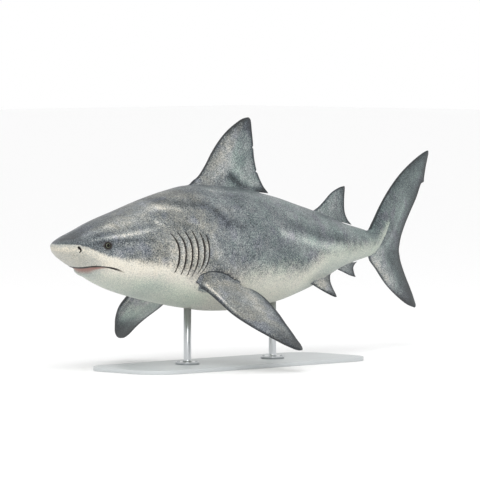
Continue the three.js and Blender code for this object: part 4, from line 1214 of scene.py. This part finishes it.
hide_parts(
    "head", "lower_jaw", "gill_region", "trunk_front", "trunk_rear", "tail_stock",
    "first_dorsal_fin", "second_dorsal_fin", "anal_fin", "pectoral_fin_left", "pectoral_fin_right",
    "pelvic_fin_left", "pelvic_fin_right", "tail_fin_upper_lobe", "tail_fin_lower_lobe",
)

# ---------------------------------------------------------------- hide finish
# Painted fibreglass in satin varnish: the markings above, broken by soft mottling and a fine stipple
# the size of the skin's scales, with a pink lip and dark slits: painted shade in the gills, the mouth's
# line, the nostrils and round the eyes.


def paint_colour(red, green, blue):
    """A paint's colour from its 0 to 255 values."""
    return [((value / 255 + 0.055) / 1.055) ** 2.4 for value in (red, green, blue)] + [1]


# Each ramp runs from pale to dark, up to RAMP_END.
GREYS = (
    (0.0, (230, 225, 212)), (0.2, (190, 191, 187)), (0.4, (156, 159, 157)), (0.6, (123, 128, 128)),
    (0.8, (94, 100, 103)), (1.0, (62, 68, 72)), (1.2, (40, 44, 47)),
)
CREAMS = (
    (0.0, (217, 212, 198)), (0.2, (196, 192, 180)), (0.4, (167, 169, 163)), (0.8, (118, 118, 113)),
)
RAMP_END = 1.25


class Paints:
    """Adds the nodes of a material, each joined to the ones before."""

    def __init__(self, material):
        material.use_nodes = True
        self.tree = material.node_tree
        self.shader = self.tree.nodes["Principled BSDF"]
        self.place = self.tree.nodes.new("ShaderNodeTexCoord").outputs["Object"]

    def join(self, source, socket):
        """Links a socket to a source, or sets it where the source is a number or a colour."""
        if isinstance(source, bpy.types.NodeSocket):
            self.tree.links.new(source, socket)
        else:
            socket.default_value = source

    def painted(self, name):
        """What is painted on the piece's points under this name."""
        node = self.tree.nodes.new("ShaderNodeAttribute")
        node.attribute_name = name
        return node.outputs["Fac"]

    def reckon(self, operation, *values):
        """The result of one sum on the values."""
        node = self.tree.nodes.new("ShaderNodeMath")
        node.operation = operation
        for value, socket in zip(values, node.inputs):
            self.join(value, socket)
        return node.outputs[0]

    def plus(self, base, layer, share):
        """The base with a share of the layer added."""
        return self.reckon("ADD", base, self.reckon("MULTIPLY", layer, share))

    def step(self, value, low, high, to_low=0.0, to_high=1.0):
        """to_low for values up to low, to_high from high on, and a smooth change between."""
        node = self.tree.nodes.new("ShaderNodeMapRange")
        node.interpolation_type = "SMOOTHSTEP"
        for source, socket in zip((value, low, high, to_low, to_high), node.inputs):
            self.join(source, socket)
        return node.outputs["Result"]

    def grain(self, scale, detail, stretch=(1, 1, 1)):
        """Noise around 0, from about -0.3 to 0.3, with scale blobs to a metre."""
        mapping = self.tree.nodes.new("ShaderNodeMapping")
        mapping.inputs["Scale"].default_value = stretch
        self.join(self.place, mapping.inputs["Vector"])
        noise = self.tree.nodes.new("ShaderNodeTexNoise")
        noise.inputs["Scale"].default_value = scale
        noise.inputs["Detail"].default_value = detail
        self.join(mapping.outputs["Vector"], noise.inputs["Vector"])
        return self.reckon("SUBTRACT", noise.outputs["Fac"], 0.5)

    def mix(self, share, first, second, blend="MIX"):
        """Two colours mixed. The node's sockets for colours are the ones numbered here."""
        node = self.tree.nodes.new("ShaderNodeMix")
        node.data_type = "RGBA"
        node.blend_type = blend
        for source, number in ((share, 0), (first, 6), (second, 7)):
            self.join(source, node.inputs[number])
        return node.outputs[2]

    def ramp(self, value, stops):
        """A colour for a value, from (value, colour) stops between 0 and 1."""
        node = self.tree.nodes.new("ShaderNodeValToRGB")
        points = node.color_ramp.elements
        for _ in range(len(stops) - 2):
            points.new(0.5)
        for point, (position, colour) in zip(points, stops):
            point.position = position
            point.color = paint_colour(*colour)
        self.join(value, node.inputs["Fac"])
        return node.outputs["Color"]


LIP_PINK = paint_colour(140, 96, 86)
OPENING_SHADE_COLOUR = paint_colour(38, 33, 31)
LILAC = paint_colour(247, 246, 255)
# From greenish through neutral to brownish: the paints are washed over with these.
TINTS = ((0.0, (234, 252, 247)), (0.5, (252, 253, 255)), (1.0, (255, 247, 236)))

p = Paints(hide)
clouds = p.grain(6.5, 3, (0.75, 1, 1))
patches = p.grain(17, 2)
mottle = p.grain(30, 3)
stipple = p.grain(230, 1)

# The edge between grey and cream is broken up by the mottling and the stipple.
dither = p.plus(p.reckon("MULTIPLY", mottle, 1.4), stipple, 1.5)
grey_share = p.step(p.reckon("ADD", p.painted("over"), dither), -1, 1)

# The grey has a dark line along the edge of each front fin's shoulder: painted shade where the fin's
# root folds against the body.
grey = p.plus(p.painted("shade"), clouds, 0.48)
grey = p.plus(grey, patches, 0.26)
grey = p.plus(grey, mottle, 0.3)
fold = p.reckon("ABSOLUTE", p.plus(p.painted("rim"), mottle, 2))
grey = p.reckon("ADD", grey, p.step(fold, 0.5, 4.5, 0.6, 0))
cream = p.plus(p.painted("pale"), clouds, 0.22)

# Both carry the stipple of the scales, the grey more of it.
dots = p.step(p.grain(180, 2), 0.06, 0.2, 0, 0.32)
grain = p.reckon("ADD", p.reckon("MULTIPLY", stipple, 1.3), dots)
tones = []
for tone, colours, share in ((grey, GREYS, 1), (cream, CREAMS, 0.65)):
    tone = p.plus(tone, grain, share)
    stops = [(at / RAMP_END, colour) for at, colour in colours]
    tones.append(p.ramp(p.reckon("DIVIDE", tone, RAMP_END), stops))
colour = p.mix(grey_share, tones[1], tones[0])

# The tint drifts over the hide, with lilac patches in the grey.
drift = p.plus(p.reckon("MULTIPLY", p.grain(9, 2), 0.9), p.grain(45, 2), 0.7)
hue = p.plus(p.painted("hue"), drift, p.step(grey_share, 0, 1, 0.4, 1))
tint = p.ramp(hue, TINTS)
lilac = p.reckon("MULTIPLY", p.step(p.grain(13, 2), 0.03, 0.2), grey_share)
tint = p.mix(lilac, tint, LILAC)
colour = p.mix(1, colour, tint, "MULTIPLY")

colour = p.mix(p.reckon("MULTIPLY", p.painted("lip"), 0.85), colour, LIP_PINK)
# Painted shade in the gill slits, the mouth's line, the nostrils and round the eyes.
opening_shade = p.step(p.plus(p.painted("slit"), stipple, 0.3), 0.12, 0.8)
colour = p.mix(opening_shade, colour, OPENING_SHADE_COLOUR)
p.join(colour, p.shader.inputs["Base Color"])
p.shader.inputs["Roughness"].default_value = 0.46
p.shader.inputs["Specular IOR Level"].default_value = 0.35
bump = p.tree.nodes.new("ShaderNodeBump")
bump.inputs["Strength"].default_value = 0.35
bump.inputs["Distance"].default_value = 0.001
p.join(p.plus(p.grain(330, 1), mottle, 1.5), bump.inputs["Height"])
p.join(bump.outputs["Normal"], p.shader.inputs["Normal"])

# ---------------------------------------------------------------- eyes
# Cast glass balls set in the sockets, painted behind: a round black pupil in an olive grey iris, with a
# black rim under the lids. One each side.
EYE_RINGS = 36
EYE_SEGMENTS = 56
# The colours from the middle of the eye (0) to its rim (1).
IRIS = (
    (0.0, (2, 2, 2)), (0.47, (3, 3, 3)), (0.52, (60, 63, 51)), (0.6, (99, 103, 86)), (0.68, (62, 65, 53)),
    (0.76, (12, 12, 10)), (1.0, (5, 5, 4)),
)
eye_glass = bpy.data.materials.new("eye glass")
p = Paints(eye_glass)
iris = p.plus(p.painted("ring"), p.grain(900, 2), 0.12)
p.join(p.ramp(iris, IRIS), p.shader.inputs["Base Color"])
p.shader.inputs["Roughness"].default_value = 0.25
p.shader.inputs["Specular IOR Level"].default_value = 0.1
p.shader.inputs["Coat Weight"].default_value = 0.14
p.shader.inputs["Coat Roughness"].default_value = 0.02
for name, side in (("left", 1), ("right", -1)):
    middle, forwards, upwards, outwards = eye_frames[side]
    ball = bmesh.new()
    bmesh.ops.create_uvsphere(ball, u_segments=EYE_SEGMENTS, v_segments=EYE_RINGS, radius=EYE_RADIUS)
    rings = [min(1.0, math.hypot(v.co.x, v.co.y) / EYE_RADIUS) if v.co.z > 0 else 1.0 for v in ball.verts]
    turned = Matrix((forwards, outwards.cross(forwards), outwards)).transposed()
    bmesh.ops.rotate(ball, verts=ball.verts, cent=(0, 0, 0), matrix=turned)
    bmesh.ops.translate(ball, verts=ball.verts, vec=middle - outwards * EYE_SUNK)
    eye = new_object("eye_ball_" + name, ball)
    eye.data.attributes.new("ring", "FLOAT", "POINT").data.foreach_set("value", rings)
    eye.data.materials.append(eye_glass)
    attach(eye, "root")
    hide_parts("eye_" + name)

# ---------------------------------------------------------------- display stand
# A flat lacquered plate on the floor, and two turned steel rods on screwed-down feet that run up into
# the belly. The plate and the rods are the museum's, not the animal's.
BASE = {"long": 1.24, "wide": 0.43, "thick": 0.016, "corner": 0.12, "edge": 0.003}
BASE_CORNER_STEPS = 20
BASE_EDGE_STEPS = 4
ROD_RADIUS = 0.015
ROD_GAP = 0.0003
ROD_INTO_BELLY = 0.05
ROD_STATIONS = {"front": 0.3, "rear": 0.5}
ROD_STEPS = 64
FOOT_RADIUS = 0.048
FOOT_THICK = 0.01
FOOT_FILLET = 0.01
FOOT_EDGE = 0.002
SCREW = {"radius": 0.0055, "high": 0.0032, "ring": 0.036, "count": 4, "recess": 0.0028}
SCREW_STEPS = 20


def lacquer(name, colour, roughness, metallic):
    """A plain finish, with a faint unevenness in its gloss."""
    material = bpy.data.materials.new(name)
    p = Paints(material)
    p.shader.inputs["Base Color"].default_value = paint_colour(*colour)
    p.shader.inputs["Metallic"].default_value = metallic
    p.join(p.reckon("MULTIPLY_ADD", p.grain(160, 2), 0.12, roughness), p.shader.inputs["Roughness"])
    return material


base_lacquer = lacquer("stand lacquer", (190, 194, 195), 0.42, 0)
rod_steel = lacquer("brushed steel", (196, 199, 201), 0.3, 1)


def bevelled(form, edges, offset, segments):
    """Rounds off the edges."""
    bmesh.ops.bevel(
        form, geom=edges, offset=offset, affect="EDGES", segments=segments, profile=0.5, material=-1,
    )


base = bmesh.new()
bmesh.ops.create_cube(base, size=1)
bmesh.ops.scale(base, verts=base.verts, vec=(BASE["long"], BASE["wide"], BASE["thick"]))
bmesh.ops.translate(base, verts=base.verts, vec=(0, 0, BASE["thick"] / 2))
upright_edges = [e for e in base.edges if abs(e.verts[0].co.z - e.verts[1].co.z) > 1e-6]
bevelled(base, upright_edges, BASE["corner"], BASE_CORNER_STEPS)
rims = [e for e in base.edges if e.calc_face_angle(0) > 1]
bevelled(base, rims, BASE["edge"], BASE_EDGE_STEPS)
plate = new_object("stand_base_plate", base)
plate.data.materials.append(base_lacquer)
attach(plate, "root")
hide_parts("stand_base")


def turned_form(outline, steps):
    """A solid of revolution from an outline of (radius, height) points that ends on the axis."""
    form = bmesh.new()
    verts = [form.verts.new((radius, 0, height)) for radius, height in outline]
    edges = [form.edges.new(pair) for pair in zip(verts, verts[1:])]
    bmesh.ops.spin(
        form, geom=verts + edges, cent=(0, 0, 0), axis=(0, 0, 1), angle=2 * math.pi, steps=steps,
        use_merge=True,
    )
    bmesh.ops.remove_doubles(form, verts=form.verts, dist=1e-6)
    bmesh.ops.recalc_face_normals(form, faces=form.faces)
    return form


for name, station in ROD_STATIONS.items():
    at = place(station, 0, 0)
    top = at.z + belly_line(station) * LENGTH + ROD_INTO_BELLY - BASE["thick"]
    quarter = [math.radians(angle) for angle in range(0, 91, 15)]
    outline = [(0, ROD_GAP), (FOOT_RADIUS - FOOT_EDGE, ROD_GAP), (FOOT_RADIUS, ROD_GAP + FOOT_EDGE)]
    for a in quarter:
        in_from_edge, down_from_top = FOOT_EDGE * (1 - math.cos(a)), FOOT_EDGE * (1 - math.sin(a))
        outline.append((FOOT_RADIUS - in_from_edge, FOOT_THICK - down_from_top))
    for a in quarter:
        out_from_rod, over_foot = FOOT_FILLET * (1 - math.sin(a)), FOOT_FILLET * (1 - math.cos(a))
        outline.append((ROD_RADIUS + out_from_rod, FOOT_THICK + over_foot))
    outline += [(ROD_RADIUS, top), (0, top)]
    rod = turned_form(outline, ROD_STEPS)
    bmesh.ops.translate(rod, verts=rod.verts, vec=(at.x, at.y, BASE["thick"]))
    rod_piece = new_object("stand_rod_turned_" + name, rod)
    for face in rod_piece.data.polygons:
        face.use_smooth = abs(face.normal.z) < 0.99
    rod_piece.data.materials.append(rod_steel)
    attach(rod_piece, "root")
    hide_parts("stand_rod_" + name)

    r, h, w = SCREW["radius"], SCREW["high"], SCREW["recess"]
    screws = bmesh.new()
    screw_outline = [(0, 0), (r, 0), (r, 0.75 * h), (0.85 * r, h), (w, h), (w, 0.3 * h), (0, 0.3 * h)]
    head = turned_form(screw_outline, SCREW_STEPS)
    head_mesh = bpy.data.meshes.new("screw")
    head.to_mesh(head_mesh)
    head.free()
    for k in range(SCREW["count"]):
        before = len(screws.verts)
        screws.from_mesh(head_mesh)
        screws.verts.ensure_lookup_table()
        around = 2 * math.pi * (k + 0.5) / SCREW["count"]
        stood = at.x + SCREW["ring"] * math.cos(around), at.y + SCREW["ring"] * math.sin(around)
        bmesh.ops.translate(screws, verts=screws.verts[before:], vec=(*stood, BASE["thick"] + FOOT_THICK))
    bpy.data.meshes.remove(head_mesh)
    screw_set = new_object("stand_screws_" + name, screws, smooth=False)
    screw_set.data.materials.append(rod_steel)
    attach(screw_set, "root")

# ---------------------------------------------------------------- floor, light and camera
# A pale studio floor under an even white sky, with one large soft light high on the left.
FLOOR_HALF = 40.0
FLOOR_WHITE = (0.96, 0.96, 0.96, 1)
FLOOR_ROUGHNESS = 0.9
SKY_STRENGTH = 1.0
floor_form = bmesh.new()
bmesh.ops.create_grid(floor_form, x_segments=1, y_segments=1, size=FLOOR_HALF)
floor = new_object("floor", floor_form, smooth=False)
floor_paint = bpy.data.materials.new("studio floor")
floor_paint.use_nodes = True
floor_shader = floor_paint.node_tree.nodes["Principled BSDF"]
floor_shader.inputs["Base Color"].default_value = FLOOR_WHITE
floor_shader.inputs["Roughness"].default_value = FLOOR_ROUGHNESS
floor.data.materials.append(floor_paint)

world = bpy.data.worlds.new("white studio")
bpy.context.scene.world = world
world.use_nodes = True
sky = world.node_tree.nodes["Background"]
sky.inputs["Color"].default_value = (1, 1, 1, 1)
sky.inputs["Strength"].default_value = SKY_STRENGTH

CAMERA_AZIMUTH = math.radians(-45)
CAMERA_ELEVATION = math.radians(2.6)
CAMERA_DISTANCE = 20.0
# A pixel's size at the shark (m), the frame's size, and where in it the aim is to come (pixels).
PIXEL = 0.004
FRAME_PIXELS = 480
MIDDLE_PIXEL = Vector((230.3, 246.5))
SENSOR = 36.0
SEES_TO = 200.0
AIM_Z = -0.01
back = Vector((
    math.sin(CAMERA_AZIMUTH) * math.cos(CAMERA_ELEVATION),
    -math.cos(CAMERA_AZIMUTH) * math.cos(CAMERA_ELEVATION),
    math.sin(CAMERA_ELEVATION),
))
right = Vector((math.cos(CAMERA_AZIMUTH), math.sin(CAMERA_AZIMUTH), 0))
up = back.cross(right)
lens = bpy.data.cameras.new("camera")
lens.sensor_fit = "HORIZONTAL"
lens.sensor_width = SENSOR
lens.lens = SENSOR * CAMERA_DISTANCE / (PIXEL * FRAME_PIXELS)
lens.clip_end = SEES_TO
camera = bpy.data.objects.new("camera", lens)
bpy.context.scene.collection.objects.link(camera)
aim = place(STAND_STATION, 0, AIM_Z)
from_middle = Vector((FRAME_PIXELS / 2, FRAME_PIXELS / 2)) - MIDDLE_PIXEL
aim += right * from_middle.x * PIXEL - up * from_middle.y * PIXEL
facing = Matrix((right, up, back)).transposed().to_4x4()
camera.matrix_world = Matrix.Translation(aim + back * CAMERA_DISTANCE) @ facing
bpy.context.scene.camera = camera

KEY_PLACE = Vector((-3.2, -3.0, 4.2))
KEY_SIZE = 3.0
KEY_POWER = 140
key_light = bpy.data.lights.new("key", "AREA")
key_light.shape = "DISK"
key_light.size = KEY_SIZE
key_light.energy = KEY_POWER
key = bpy.data.objects.new("key", key_light)
bpy.context.scene.collection.objects.link(key)
towards_aim = (KEY_PLACE - aim).to_track_quat("Z", "Y").to_matrix().to_4x4()
key.matrix_world = Matrix.Translation(KEY_PLACE) @ towards_aim
bpy.context.scene.view_settings.view_transform = "Standard"
